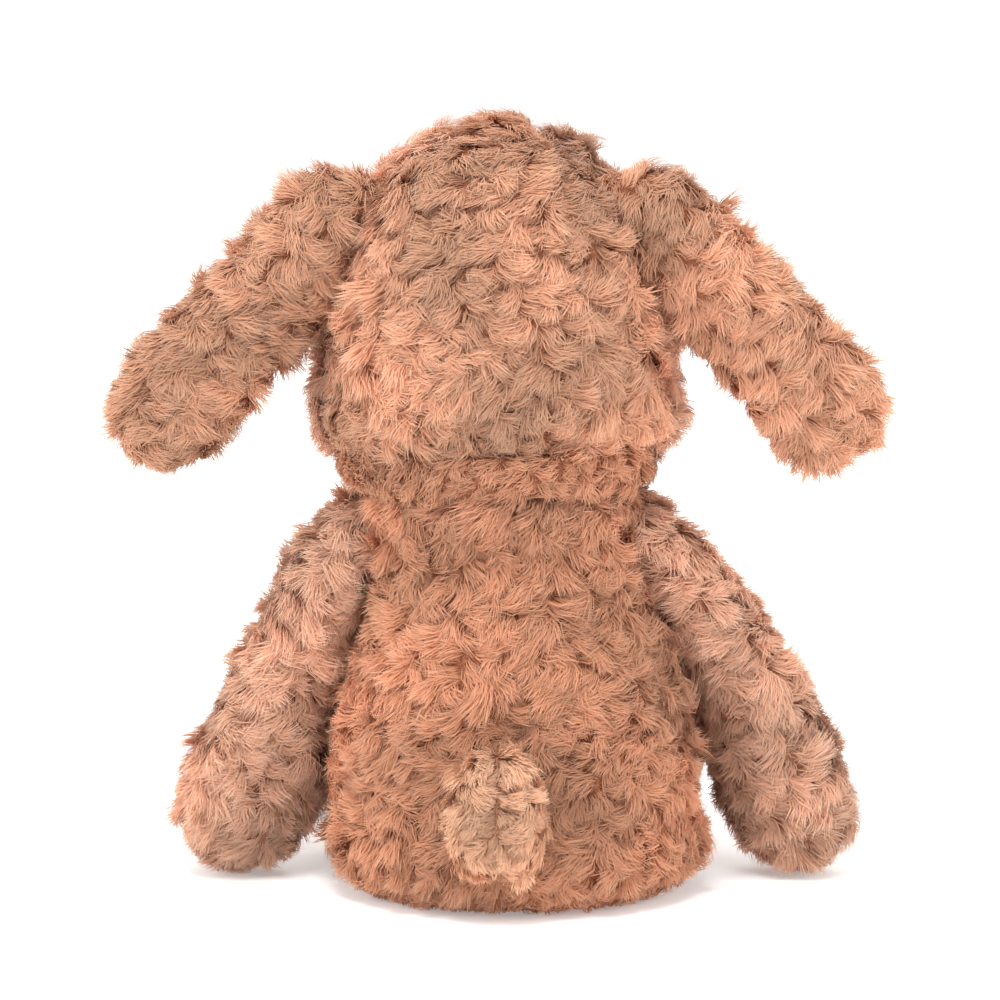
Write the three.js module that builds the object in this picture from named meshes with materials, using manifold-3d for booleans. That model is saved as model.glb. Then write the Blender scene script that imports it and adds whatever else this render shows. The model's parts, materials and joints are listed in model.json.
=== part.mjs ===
// Plush dog, sitting, with shaggy fur, flat floppy ears and a stub tail.
// Millimetres, +Z up, the dog faces -Y and its left side is +X.
// Fur skins are shells: a knitted backing with its pile pressed to about half its length.
// The origin is the middle of the overall box, at the level of the floor.
import * as THREE from "three";
import { mergeVertices } from "three/addons/utils/BufferGeometryUtils.js";
import Module from "manifold-3d";

const wasm = await Module();
wasm.setup();

// ---- Driving sizes ----

const seamGap = 0.3; // between two panels that are sewn together
const fillGap = 0.5; // between a skin and the stuffing in it
const moveGap = 1.2; // between pieces that move past each other
const skinWall = 6; // backing and pressed pile on the head and the trunk
const limbWall = 5; // the same on the arms, legs, ears and tail

const trunkHeight = 162;
const trunkWidth = 138;
const trunkDepth = 128;
const trunkWidestAt = 42;
const seatWidth = 100;
const trunkTaper = 0.33; // how much narrower the trunk is at the shoulders
const trunkLean = 7; // the trunk settles this far to the dog's right of the head
const seatPanel = 9; // height of the seam round the seat panel
const pouchMargin = 4; // round the bean pouch, in from the seat's skin
const pouchHeight = 28;
const pouchForward = 6; // the pouch's middle behind the trunk's

const headHeight = 130;
const headWidth = 132;
const headDepth = 116;
const headWidestAt = 27; // above the bottom of the head
const neckGap = 1; // bottom of the head above the top of the trunk, on the axis
const neckRadius = 16;
const neckBall = 15;
const neckDepth = 16; // how far the neck roll goes into the trunk
const neckPivotUp = 4; // where the head turns, above the bottom of the head
const gussetWidth = 30; // the crown and chin panels, between the side panels

const earLength = 117;
const earWidth = 54;
const earThickness = 15;
const earDroop = 45; // degrees below level
const earRootTop = 0.895; // share of the head's height where the ear's root starts
const earRootLow = 0.395; // and where it ends
const earBehind = 15; // the ear's middle plane, behind the head's middle
const earOff = 3; // the ear's root beyond the head's widest line
const earRoom = 3.2; // between the head and a floppy ear

const armRadius = 16.5; // at the shoulder
const pawRadius = 23.5;
const shoulderDrop = 21; // shoulders below the top of the trunk
const shoulderTuck = 9; // how deep an arm nestles into the trunk's side
const armRoom = 2; // between a swinging arm and the trunk
const pawGap = 13.5; // between a paw and the trunk's widest line
const armForward = 24; // how much further forward the paw is
const pawClear = 3.5; // paws above the floor

const hipRadius = 22;
const footRadius = 26;
const legLength = 96; // hip centre to sole
const hipSpread = 38;
const hipForward = 60;
const legClear = 1; // legs above the floor
const soleRounding = 8;
const splayLeft = 18;
const splayRight = 8;
const soleThickness = 5;

const tailWidth = 38;
const tailHeight = 47;
const tailDepth = 27;
const tailAt = 38; // height of its middle
const tailSunk = 5; // how far it nestles into the trunk's fur

const muzzleWidth = 62;
const muzzleHeight = 48;
const muzzleReach = 25; // beyond the face
const muzzleAt = 34; // its middle above the bottom of the head
const eyeSpread = 23;
const eyeAt = 64; // above the bottom of the head
const eyeRadius = 6.5;
const eyeDome = 0.6; // how tall the button is, as a share of its radius
const eyeProud = 1.2; // the dome's middle above the skin
const shankRadius = 2;
const shankTip = 3; // how far a shank comes out of its washer
const washerRadius = 7;
const washerThickness = 1.6;
const noseWasherRadius = 5;
const noseWidth = 22;
const noseThickness = 7;
const noseHeight = 8;
const noseRise = 7.7; // above the muzzle's middle
const mouthDrop = 7.7; // below it
const mouthWidth = 30;
const mouthCurl = 3.5; // how far the corners of the mouth turn up
const threadRadius = 0.9;

const sides = 24; // facets round the head and the trunk
const limbSides = 12;

// ---- Solids ----

/** A closed three.js geometry as a manifold solid. */
function solid(geometry) {
  const bare = geometry.index ? geometry.toNonIndexed() : geometry.clone();
  bare.deleteAttribute("normal");
  bare.deleteAttribute("uv");
  const merged = mergeVertices(bare, 1e-4);
  return new wasm.Manifold(
    new wasm.Mesh({
      numProp: 3,
      vertProperties: new Float32Array(merged.attributes.position.array),
      triVerts: new Uint32Array(merged.index.array),
    }),
  );
}

/** A solid as a geometry, measured from a pivot. */
function geometryOf(made, pivot) {
  const mesh = made.getMesh();
  const geometry = new THREE.BufferGeometry();
  geometry.setAttribute("position", new THREE.BufferAttribute(mesh.vertProperties, 3));
  geometry.setIndex(new THREE.BufferAttribute(mesh.triVerts, 1));
  geometry.translate(-pivot.x, -pivot.y, -pivot.z);
  geometry.computeVertexNormals();
  return geometry;
}

const smallestPiece = 0.02; // of the largest one

/** The loose bodies of a cut solid, without the crumbs that a cut leaves. */
function piecesOf(made) {
  const all = made.decompose();
  const most = Math.max(...all.map((piece) => piece.volume()));
  return all.filter((piece) => piece.volume() > most * smallestPiece);
}

/** The piece whose box is centred nearest to a point. */
function pieceNear(pieces, x, y, z) {
  const target = new THREE.Vector3(x, y, z);
  const middle = (piece) => {
    const box = piece.boundingBox();
    return new THREE.Vector3(...box.min).add(new THREE.Vector3(...box.max)).multiplyScalar(0.5);
  };
  return [...pieces].sort((a, b) => middle(a).distanceTo(target) - middle(b).distanceTo(target))[0];
}

const block = (width, depth, height, x, y, z) =>
  solid(new THREE.BoxGeometry(width, depth, height).translate(x, y, z));
const ball = (radius, at) => solid(new THREE.SphereGeometry(radius, limbSides, 7).translate(...at));

/** A round bar along a direction, from a point. */
function bar(radius, length, from, direction, facets = 10) {
  const geometry = new THREE.CylinderGeometry(radius, radius, length, facets);
  geometry.translate(0, length / 2, 0);
  const up = new THREE.Vector3(0, 1, 0);
  geometry.applyQuaternion(new THREE.Quaternion().setFromUnitVectors(up, direction));
  return solid(geometry.translate(from.x, from.y, from.z));
}

/**
 * A turned form: radiusAt gives its half width at a height, flatness its depth over its width,
 * and centreAt where its middle lies at each height.
 */
function turned(form, inset = 0) {
  const low = form.bottom + inset;
  const high = form.top - inset;
  const shrink = (form.widest - inset) / form.widest;
  const profile = [new THREE.Vector2(0, low)];
  for (let ring = 0; ring <= form.rings; ring++) {
    const share = (1 - Math.cos((Math.PI * ring) / form.rings)) / 2;
    const radius = form.radiusAt(form.bottom + share * (form.top - form.bottom)) * shrink;
    if (radius > 0.5) profile.push(new THREE.Vector2(radius, low + share * (high - low)));
  }
  profile.push(new THREE.Vector2(0, high));
  const geometry = new THREE.LatheGeometry(profile, form.sides).rotateX(Math.PI / 2);
  const points = geometry.attributes.position;
  const flat = (form.widest * form.flatness - inset) / (form.widest - inset);
  for (let i = 0; i < points.count; i++) {
    const [x, y] = form.centreAt(points.getZ(i));
    points.setXY(i, points.getX(i) + x, points.getY(i) * flat + y);
  }
  return solid(geometry);
}

/** Half width and half depth, at a height, of a turned form moved in by an inset. */
function spanAt(form, inset, z) {
  const share = (z - form.bottom - inset) / (form.top - form.bottom - 2 * inset);
  const radius = form.radiusAt(form.bottom + share * (form.top - form.bottom));
  const width = (radius * (form.widest - inset)) / form.widest;
  return [width, (width * (form.widest * form.flatness - inset)) / (form.widest - inset)];
}

/** Half width of a bar with round ends and a straight taper between them. */
function capsuleRadius(z, low, high, lowRadius, highRadius) {
  if (z < low) return Math.sqrt(Math.max(lowRadius ** 2 - (low - z) ** 2, 0));
  if (z > high) return Math.sqrt(Math.max(highRadius ** 2 - (z - high) ** 2, 0));
  return lowRadius + ((highRadius - lowRadius) * (z - low)) / (high - low);
}

const clamp = THREE.MathUtils.clamp;
const radians = THREE.MathUtils.degToRad;

// ---- Forms ----

/** How far the trunk's middle is from the head's, at a height. */
const leanAt = (z) => -trunkLean * THREE.MathUtils.smoothstep(trunkHeight - z, 0, trunkHeight / 2);

const trunk = {
  bottom: 0,
  top: trunkHeight,
  widest: trunkWidth / 2,
  flatness: trunkDepth / trunkWidth,
  rings: 10,
  sides,
  centreAt: (z) => [leanAt(z), 0],
  radiusAt(z) {
    if (z < trunkWidestAt) {
      const under = (trunkWidestAt - z) / trunkWidestAt;
      return seatWidth / 2 + ((trunkWidth - seatWidth) / 2) * Math.sqrt(1 - under ** 2);
    }
    const up = (z - trunkWidestAt) / (trunkHeight - trunkWidestAt);
    return (trunkWidth / 2) * (1 - trunkTaper * up) * Math.sqrt(1 - up ** 10);
  },
};

const headBottom = trunkHeight + neckGap;
const head = {
  bottom: headBottom,
  top: headBottom + headHeight,
  widest: headWidth / 2,
  flatness: headDepth / headWidth,
  rings: 10,
  sides,
  centreAt: () => [0, 0],
  radiusAt(z) {
    const fromWidest = z - headBottom - headWidestAt;
    if (fromWidest < 0) {
      const down = Math.min(-fromWidest / headWidestAt, 1);
      return (headWidth / 2) * (1 - down ** 2.6) ** (1 / 2.6);
    }
    const up = Math.min(fromWidest / (headHeight - headWidestAt), 1);
    return (headWidth / 2) * Math.sqrt(1 - up ** 2.4);
  },
};

/** The face's surface: how far forward the head reaches at a width and a height. */
const faceAt = (x, z) => -head.flatness * Math.sqrt(Math.max(head.radiusAt(z) ** 2 - x ** 2, 0));

const pawAt = pawClear + pawRadius;
const shoulderHeight = trunkHeight - shoulderDrop;
const shoulderSpread = trunk.radiusAt(shoulderHeight) + armRadius - shoulderTuck;
const pawSpread = trunkWidth / 2 + pawGap + pawRadius;
const arm = (side) => ({
  bottom: pawClear,
  top: shoulderHeight + armRadius,
  widest: pawRadius,
  flatness: 1,
  rings: 8,
  sides: limbSides,
  centreAt(z) {
    const down = clamp((shoulderHeight - z) / (shoulderHeight - pawAt), 0, 1);
    const out = THREE.MathUtils.lerp(pawSpread, shoulderSpread, (1 - down) ** 1.25);
    return [side * out + leanAt(z), -armForward * down];
  },
  radiusAt: (z) => capsuleRadius(z, pawAt, shoulderHeight, pawRadius, armRadius),
});

/** A leg in its own frame: the hip centre is at 0 and the sole at legLength along Z. */
const leg = {
  bottom: -hipRadius,
  top: legLength,
  widest: footRadius,
  flatness: 1,
  rings: 8,
  sides: limbSides,
  centreAt: () => [0, 0],
  radiusAt(z) {
    const roundFrom = legLength - soleRounding;
    if (z > roundFrom) {
      return footRadius - soleRounding + Math.sqrt(soleRounding ** 2 - (z - roundFrom) ** 2);
    }
    return capsuleRadius(z, 0, roundFrom, hipRadius, footRadius);
  },
};

const tailMiddle = trunk.radiusAt(tailAt) * trunk.flatness + tailDepth / 2 - tailSunk;
const tail = {
  bottom: tailAt - tailHeight / 2,
  top: tailAt + tailHeight / 2,
  widest: tailWidth / 2,
  flatness: tailDepth / tailWidth,
  rings: 7,
  sides: limbSides,
  centreAt: () => [0, tailMiddle],
  radiusAt(z) {
    const up = (z - tailAt) / (tailHeight / 2);
    return (tailWidth / 2) * (1 - 0.12 * up) * Math.sqrt(Math.max(1 - up ** 2, 0));
  },
};

// ---- Pivots ----

const shoulder = (side) =>
  new THREE.Vector3(side * shoulderSpread + leanAt(shoulderHeight), 0, shoulderHeight);
const hip = (side) =>
  new THREE.Vector3(side * hipSpread + leanAt(0), -hipForward, footRadius + legClear);
const neckPivot = new THREE.Vector3(0, 0, headBottom + neckPivotUp);
const tailRoot = new THREE.Vector3(0, tailMiddle - tailDepth / 2, tailAt + tailHeight / 3);

/** A point on the line where an ear is sewn to the head. */
function earRoot(side, share) {
  const z = headBottom + headHeight * share;
  return new THREE.Vector3(side * (head.radiusAt(z) + earOff), earBehind, z);
}

// ---- Trunk ----

/** The hollow in the trunk's side that lets an arm swing, turned about the shoulder's axis. */
function armpit(side, grow) {
  const reach = 3 * armRadius;
  const steps = 7;
  const facets = 18;
  const flats = Math.cos(Math.PI / facets); // a facet's middle is nearer the axis than its ends
  const form = arm(side);
  const at = shoulder(side);
  const profile = [new THREE.Vector2(0, -reach)];
  for (let step = steps; step >= 0; step--) {
    const away = (reach * step) / steps;
    const z = shoulderHeight - away;
    const along = side * (at.x - form.centreAt(z)[0]) + form.radiusAt(z);
    const round = away < armRadius ? Math.sqrt(armRadius ** 2 - away ** 2) : -reach;
    const depth = Math.max(along, round) + armRoom + grow;
    const radius = (away + grow) / flats;
    if (step === steps) profile.push(new THREE.Vector2(radius, -reach));
    profile.push(new THREE.Vector2(step ? radius : 0, depth));
  }
  const geometry = new THREE.LatheGeometry(profile, facets).rotateZ((side * Math.PI) / 2);
  return solid(geometry.translate(at.x, at.y, at.z));
}

/** The trunk's form with room for the arms and the legs. */
function trunkSolid(inset) {
  let made = turned(trunk, inset);
  for (const side of [1, -1]) {
    made = made.subtract(armpit(side, inset));
    made = made.subtract(ball(hipRadius + moveGap + inset, hip(side).toArray()));
  }
  return made;
}

const neckHole = (radius, low, high) =>
  bar(radius, high - low, new THREE.Vector3(0, 0, low), new THREE.Vector3(0, 0, 1), 16);

const big = 2 * (trunkHeight + headHeight);
const trunkMiddle = leanAt(trunkWidestAt);
const trunkShell = trunkSolid(0)
  .subtract(trunkSolid(skinWall))
  .subtract(neckHole(neckRadius + moveGap, trunkHeight / 2, big));
const sideSeam = block(big, seamGap, big, 0, 0, seatPanel + big / 2);
const seatSeam = block(big, big, seamGap, 0, 0, seatPanel);
const backSeam = block(seamGap, big, big, trunkMiddle, big / 2, seatPanel + big / 2);
const trunkPanels = piecesOf(trunkShell.subtract(sideSeam).subtract(seatSeam).subtract(backSeam));

const pouchRadius = seatWidth / 2 - skinWall - pouchMargin;
const pouchReach = (seatWidth / 2) * trunk.flatness - skinWall - pouchMargin - pouchForward;
const pouchBottom = skinWall + fillGap;
const pouchForm = {
  bottom: pouchBottom,
  top: pouchBottom + pouchHeight,
  widest: pouchRadius,
  flatness: pouchReach / pouchRadius,
  rings: 8,
  sides,
  centreAt: () => [trunkMiddle, pouchForward],
  radiusAt(z) {
    const up = clamp((z - pouchBottom) / pouchHeight, 0, 1);
    return pouchRadius * Math.sqrt(1 - up ** 3);
  },
};
const pouch = turned(pouchForm);

const trunkFill = trunkSolid(skinWall + fillGap)
  .subtract(turned(pouchForm, -fillGap))
  .subtract(neckHole(neckRadius + fillGap, trunkHeight - neckDepth - fillGap, big));

// ---- Head ----

const headMiddle = headBottom + headHeight / 2;
const neckRoom = neckBall + moveGap;
const nodRoom = 3 * moveGap; // round the neck, where the head nods
const headShell = turned(head)
  .subtract(turned(head, skinWall))
  .subtract(neckHole(neckRadius + nodRoom, headBottom - 1, headBottom + headHeight / 4));
const chinTop = headBottom + muzzleAt;
const headBackSeam = block(big, seamGap, big, 0, earBehind, headMiddle);
const gussetSeams = [1, -1].map((side) =>
  block(seamGap, big, big, (side * gussetWidth) / 2, earBehind - big / 2, headMiddle),
);
const chinSeam = block(gussetWidth, big, seamGap, 0, earBehind - big / 2, chinTop);

const muzzleForm = { x: muzzleWidth / 2, z: muzzleHeight / 2, root: faceAt(0, chinTop) };
const muzzleY = muzzleForm.root + 0.35 * muzzleReach;
const muzzleRadiusY = muzzleY - (muzzleForm.root - muzzleReach);

/** The muzzle's egg, with its walls moved in by an inset. */
function muzzleEgg(inset) {
  const geometry = new THREE.SphereGeometry(1, 18, 10).rotateX(Math.PI / 2);
  geometry.scale(muzzleForm.x - inset, muzzleRadiusY - inset, muzzleForm.z - inset);
  return solid(geometry.translate(0, muzzleY, chinTop));
}

/** A point just off the muzzle's surface. */
function onMuzzle(x, z, off) {
  const share = 1 - (x / muzzleForm.x) ** 2 - ((z - chinTop) / muzzleForm.z) ** 2;
  return new THREE.Vector3(x, muzzleY - muzzleRadiusY * Math.sqrt(Math.max(share, 0)) - off, z);
}

const headKeepOut = turned(head, -fillGap);

/** Whether a ring about a point, square to a direction, lies inside the head's skin. */
function ringInside(centre, radius, direction) {
  const across = new THREE.Vector3(0, 0, 1).cross(direction).normalize();
  const upward = direction.clone().cross(across);
  const corners = [...Array(limbSides).keys()].map((step) => (2 * Math.PI * step) / limbSides);
  return corners.every((angle) => {
    const rim = centre.clone().addScaledVector(across, radius * Math.cos(angle));
    rim.addScaledVector(upward, radius * Math.sin(angle));
    const [width, depth] = spanAt(head, skinWall + 2 * fillGap, rim.z);
    return (rim.x / width) ** 2 + (rim.y / depth) ** 2 < 1;
  });
}

// The safety eyes: a domed button on a shank, locked by a washer behind the skin.
const eyeLift = 3; // tilts an eye's axis up, against its distance from the head's axis
const eyes = [1, -1].map((side) => {
  const z = headBottom + eyeAt;
  const y = faceAt(eyeSpread, z);
  const at = new THREE.Vector3(side * eyeSpread, y, z);
  const out = new THREE.Vector3(at.x, y / head.flatness ** 2, eyeLift).normalize();
  const along = (distance) => at.clone().addScaledVector(out, distance);
  const turn = new THREE.Quaternion().setFromUnitVectors(new THREE.Vector3(0, 1, 0), out);
  const dome = new THREE.SphereGeometry(eyeRadius, 14, 8);
  dome.scale(1, eyeDome, 1).applyQuaternion(turn);
  const middle = along(eyeProud);
  const button = solid(dome.translate(middle.x, middle.y, middle.z))
    .subtract(turned(head, -seamGap));
  // the washer goes in until its whole rim is inside the skin
  let washerFront = skinWall;
  while (!ringInside(along(-washerFront), washerRadius, out)) washerFront += fillGap;
  const washerBack = washerFront + washerThickness;
  const tip = washerBack + shankTip;
  const through = (radius, from) => bar(radius, from + skinWall, along(-from), out);
  return {
    eye: button.add(bar(shankRadius, tip + eyeProud, along(-tip), out)),
    washer: bar(washerRadius, washerThickness, along(-washerBack), out, 20)
      .subtract(through(shankRadius + seamGap, tip)),
    hole: through(shankRadius + seamGap, tip),
    room: through(washerRadius + fillGap, washerBack + fillGap)
      .add(through(shankRadius + fillGap, tip + fillGap)),
  };
});

let headSkin = headShell.subtract(headBackSeam).subtract(chinSeam);
for (const seam of gussetSeams) headSkin = headSkin.subtract(seam);
for (const { hole } of eyes) headSkin = headSkin.subtract(hole);
const headPanels = piecesOf(headSkin);

let headFill = turned(head, skinWall + fillGap)
  .subtract(ball(neckRoom, neckPivot.toArray()))
  .subtract(neckHole(neckRoom, headBottom, neckPivot.z));
for (const { room } of eyes) headFill = headFill.subtract(room);

const forward = new THREE.Vector3(0, -1, 0);
const noseAt = onMuzzle(0, chinTop + noseRise, 0);
const noseShank = (radius, from, to) =>
  bar(radius, to - from, noseAt.clone().addScaledVector(forward, from), forward);
const noseButton = new THREE.SphereGeometry(1, 16, 9)
  .scale(noseWidth / 2, noseThickness, noseHeight)
  .translate(noseAt.x, noseAt.y, noseAt.z);
// the washer sits where the muzzle is as deep inside as the washer is wide
const washerTop = noseAt.z + noseWasherRadius + fillGap - chinTop;
const insideShare = Math.sqrt(1 - (washerTop / (muzzleForm.z - limbWall)) ** 2);
const insideY = muzzleY - (muzzleRadiusY - limbWall) * insideShare;
const noseWasherFrom = noseAt.y - insideY - fillGap - washerThickness;
const nose = solid(noseButton)
  .subtract(muzzleEgg(-seamGap))
  .add(noseShank(shankRadius, noseWasherFrom - 1, 2));
const noseWasher = noseShank(noseWasherRadius, noseWasherFrom, noseWasherFrom + washerThickness)
  .subtract(noseShank(shankRadius + seamGap, noseWasherFrom - 5, 2));

const muzzleSkin = muzzleEgg(0)
  .subtract(muzzleEgg(limbWall))
  .subtract(headKeepOut)
  .subtract(noseShank(shankRadius + seamGap, noseWasherFrom - 5, 10));
const muzzleFill = muzzleEgg(limbWall + fillGap)
  .subtract(headKeepOut)
  .subtract(noseShank(noseWasherRadius + fillGap, noseWasherFrom - fillGap, 10))
  .subtract(noseShank(shankRadius + fillGap, noseWasherFrom - 2, 0));

/** A thread laid along points. */
function thread(points) {
  const path = new THREE.CatmullRomCurve3(points);
  const section = new THREE.Shape().absarc(0, 0, threadRadius, 0, 2 * Math.PI);
  const options = { steps: 2 * points.length, extrudePath: path, curveSegments: 3 };
  return solid(new THREE.ExtrudeGeometry(section, options));
}

const threadOff = threadRadius + 2 * seamGap; // its middle off the muzzle
const mouthZ = chinTop - mouthDrop;
const lipZ = noseAt.z - noseHeight - threadRadius - fillGap;
const smile = [];
for (let step = -4; step <= 4; step++) {
  const share = step / 4;
  smile.push(onMuzzle((share * mouthWidth) / 2, mouthZ + mouthCurl * share ** 2, threadOff));
}
const lip = [0, 0.5, 1].map((share) =>
  onMuzzle(0, THREE.MathUtils.lerp(lipZ, mouthZ - 0.2, share), threadOff),
);
const mouth = thread(smile).add(thread(lip));

// ---- Neck ----

const neckLow = trunkHeight - neckDepth;
const neckWaist = neckBall - 3; // the roll between the trunk and its ball
const neckRoll = neckHole(neckRadius, neckLow, neckPivot.z)
  .subtract(neckHole(2 * neckRadius, headBottom - neckGap, big))
  .add(neckHole(neckWaist, neckLow + 1, neckPivot.z))
  .add(ball(neckBall, neckPivot.toArray()));

// ---- Ears ----

/** An ear: a long paddle whose root follows the head's side seam. */
function earSolid(side, inset) {
  const top = earRoot(1, earRootTop);
  const low = earRoot(1, earRootLow);
  const middle = top.clone().lerp(low, 0.5);
  const rootLength = top.distanceTo(low);
  const droop = radians(earDroop);
  // along the ear from the middle of its root, and across it towards its outer edge
  const at = (along, across) =>
    new THREE.Vector2(
      side * (middle.x + along * Math.cos(droop) + across * Math.sin(droop)),
      middle.z - along * Math.sin(droop) + across * Math.cos(droop),
    );
  // a point on the root, moved in from the root and from its end by the inset
  const onRoot = (end, towards) => {
    const point = end.clone().lerp(towards, (1.5 * inset) / rootLength);
    return new THREE.Vector2(side * (point.x + inset), point.z);
  };
  const outer = 0.64 * earWidth - inset;
  const inner = -0.36 * earWidth + inset;
  const outline = new THREE.Shape();
  outline.moveTo(...onRoot(top, low).toArray());
  outline.splineThru([
    at(0.04 * earLength, 0.98 * outer),
    at(0.2 * earLength, outer),
    at(0.5 * earLength, outer),
    at(0.86 * earLength, 0.87 * outer),
    at(earLength - inset, 0.2 * earWidth),
    at(0.93 * earLength - inset / 2, 0.8 * inner),
    at(0.66 * earLength, inner),
    onRoot(low, top),
  ]);
  const bevel = (earThickness / 2 - inset) * 0.75;
  const geometry = new THREE.ExtrudeGeometry(outline, {
    depth: earThickness - 2 * inset - 2 * bevel,
    bevelThickness: bevel,
    bevelSize: bevel,
    bevelOffset: -bevel,
    bevelSegments: 2,
    curveSegments: 2,
  });
  geometry.rotateX(Math.PI / 2);
  geometry.translate(0, earBehind + earThickness / 2 - inset - bevel, 0);
  return solid(geometry).subtract(turned(head, -earRoom - inset));
}

// ---- Legs ----

/** Puts a leg from its own frame into the dog's: it points forward and splays out. */
function legInPlace(made, side) {
  const splay = side > 0 ? splayLeft : splayRight;
  const turn = new THREE.Matrix4().makeRotationZ(side * radians(splay));
  turn.multiply(new THREE.Matrix4().makeRotationX(Math.PI / 2));
  turn.setPosition(hip(side));
  return made.transform(turn.elements);
}

const soleAt = legLength - soleThickness;
const legSolid = turned(leg);
const legInside = turned({ ...leg, top: legLength + limbWall + 1 }, limbWall + 0.001);
const beyondSole = block(big, big, big, 0, 0, soleAt + seamGap / 2 + big / 2);
const upToSole = block(big, big, big, 0, 0, soleAt - seamGap / 2 - big / 2);
const legShell = legSolid.subtract(legInside).intersect(upToSole);
const legPanels = piecesOf(legShell.subtract(block(big, seamGap, big, 0, 0, 0)));
const legFill = turned({ ...leg, top: legLength + limbWall + 1 }, limbWall + fillGap)
  .intersect(block(big, big, big, 0, 0, soleAt - fillGap - big / 2));
const sole = legSolid.intersect(beyondSole);

// ---- Materials ----

const finish = (color, roughness) =>
  new THREE.MeshStandardMaterial({ color, roughness, metalness: 0 });
const fur = () => finish(0xcd9478, 0.95);
const paleFur = () => finish(0xd2a184, 0.95);
const shortPlush = () => finish(0xe3c3a6, 0.9);
const stuffing = () => finish(0xf2efe8, 1);
const pouchCloth = () => finish(0xe6dfd0, 0.85);
const plastic = () => finish(0x1d1614, 0.25);
const nosePlastic = () => finish(0x3a2019, 0.4);
const washerPlastic = () => finish(0xe9e6df, 0.5);
const threadMaterial = () => finish(0x4a2c22, 0.8);

// ---- Assembly ----

const dog = new THREE.Group();
const bodies = {};

/** A group that turns about a pivot. */
function body(name, pivot, parent) {
  const group = new THREE.Group();
  group.name = name;
  group.userData.pivot = pivot;
  const from = parent ? parent.userData.pivot : new THREE.Vector3();
  group.position.copy(pivot).sub(from);
  (parent ?? dog).add(group);
  bodies[name] = group;
  return group;
}

function piece(group, name, made, material) {
  const mesh = new THREE.Mesh(geometryOf(made, group.userData.pivot), material);
  mesh.name = name;
  group.add(mesh);
}

const torsoBody = body("torso", new THREE.Vector3());
const half = trunkWidth / 2;
const backAt = trunkHeight / 2;
piece(torsoBody, "back_skin_left", pieceNear(trunkPanels, half, half, backAt), fur());
piece(torsoBody, "back_skin_right", pieceNear(trunkPanels, -half, half, backAt), fur());
piece(torsoBody, "belly_skin", pieceNear(trunkPanels, trunkMiddle, -half, backAt), fur());
piece(torsoBody, "seat_skin", pieceNear(trunkPanels, trunkMiddle, 0, 0), fur());
piece(torsoBody, "body_stuffing", trunkFill, stuffing());
piece(torsoBody, "bean_pouch", pouch, pouchCloth());

const neckBody = body("neck", neckPivot, torsoBody);
piece(neckBody, "neck_roll", neckRoll, stuffing());

const headBody = body("head", neckPivot, neckBody);
piece(headBody, "head_back_skin", pieceNear(headPanels, 0, half, headMiddle), fur());
piece(headBody, "head_side_skin_left", pieceNear(headPanels, half, 0, headMiddle), fur());
piece(headBody, "head_side_skin_right", pieceNear(headPanels, -half, 0, headMiddle), fur());
piece(headBody, "crown_skin", pieceNear(headPanels, 0, -20, head.top - 20), fur());
piece(headBody, "chin_skin", pieceNear(headPanels, 0, -20, headBottom), fur());
piece(headBody, "head_stuffing", headFill, stuffing());
piece(headBody, "muzzle_skin", muzzleSkin, shortPlush());
piece(headBody, "muzzle_stuffing", muzzleFill, stuffing());
piece(headBody, "nose", nose, nosePlastic());
piece(headBody, "nose_washer", noseWasher, washerPlastic());
piece(headBody, "mouth_thread", mouth, threadMaterial());
["left", "right"].forEach((name, index) => {
  piece(headBody, "eye_" + name, eyes[index].eye, plastic());
  piece(headBody, "eye_washer_" + name, eyes[index].washer, washerPlastic());
});

for (const [name, side] of [["left", 1], ["right", -1]]) {
  const root = earRoot(side, earRootTop).lerp(earRoot(side, earRootLow), 0.5);
  root.x += (side * earThickness) / 2;
  const earBody = body("ear_" + name, root, headBody);
  const earSeam = block(big, seamGap, big, 0, earBehind, headMiddle);
  const earPanels = piecesOf(earSolid(side, 0).subtract(earSolid(side, limbWall)).subtract(earSeam));
  piece(earBody, "ear_back_skin_" + name, pieceNear(earPanels, root.x, big, root.z), fur());
  piece(earBody, "ear_front_skin_" + name, pieceNear(earPanels, root.x, -big, root.z), fur());
  piece(earBody, "ear_wadding_" + name, earSolid(side, limbWall + fillGap), stuffing());

  const armBody = body("arm_" + name, shoulder(side), torsoBody);
  const form = arm(side);
  const armShell = turned(form).subtract(turned(form, limbWall));
  const seam = new THREE.BoxGeometry(seamGap, big, form.top - form.bottom + 20, 1, 1, 24);
  seam.translate(0, 0, (form.top + form.bottom) / 2);
  const seamPoints = seam.attributes.position;
  for (let i = 0; i < seamPoints.count; i++) {
    seamPoints.setX(i, seamPoints.getX(i) + form.centreAt(seamPoints.getZ(i))[0]);
  }
  const armPanels = piecesOf(armShell.subtract(solid(seam)));
  piece(armBody, "arm_outer_skin_" + name, pieceNear(armPanels, side * big, 0, backAt), fur());
  piece(armBody, "arm_inner_skin_" + name, pieceNear(armPanels, -side * big, 0, backAt), fur());
  piece(armBody, "arm_stuffing_" + name, turned(form, limbWall + fillGap), stuffing());

  const legBody = body("leg_" + name, hip(side), torsoBody);
  const [upper, under] = [big, -big].map((y) => pieceNear(legPanels, 0, y, 0));
  piece(legBody, "leg_top_skin_" + name, legInPlace(upper, side), fur());
  piece(legBody, "leg_under_skin_" + name, legInPlace(under, side), fur());
  piece(legBody, "foot_sole_" + name, legInPlace(sole, side), shortPlush());
  piece(legBody, "leg_stuffing_" + name, legInPlace(legFill, side), stuffing());
}

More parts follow.
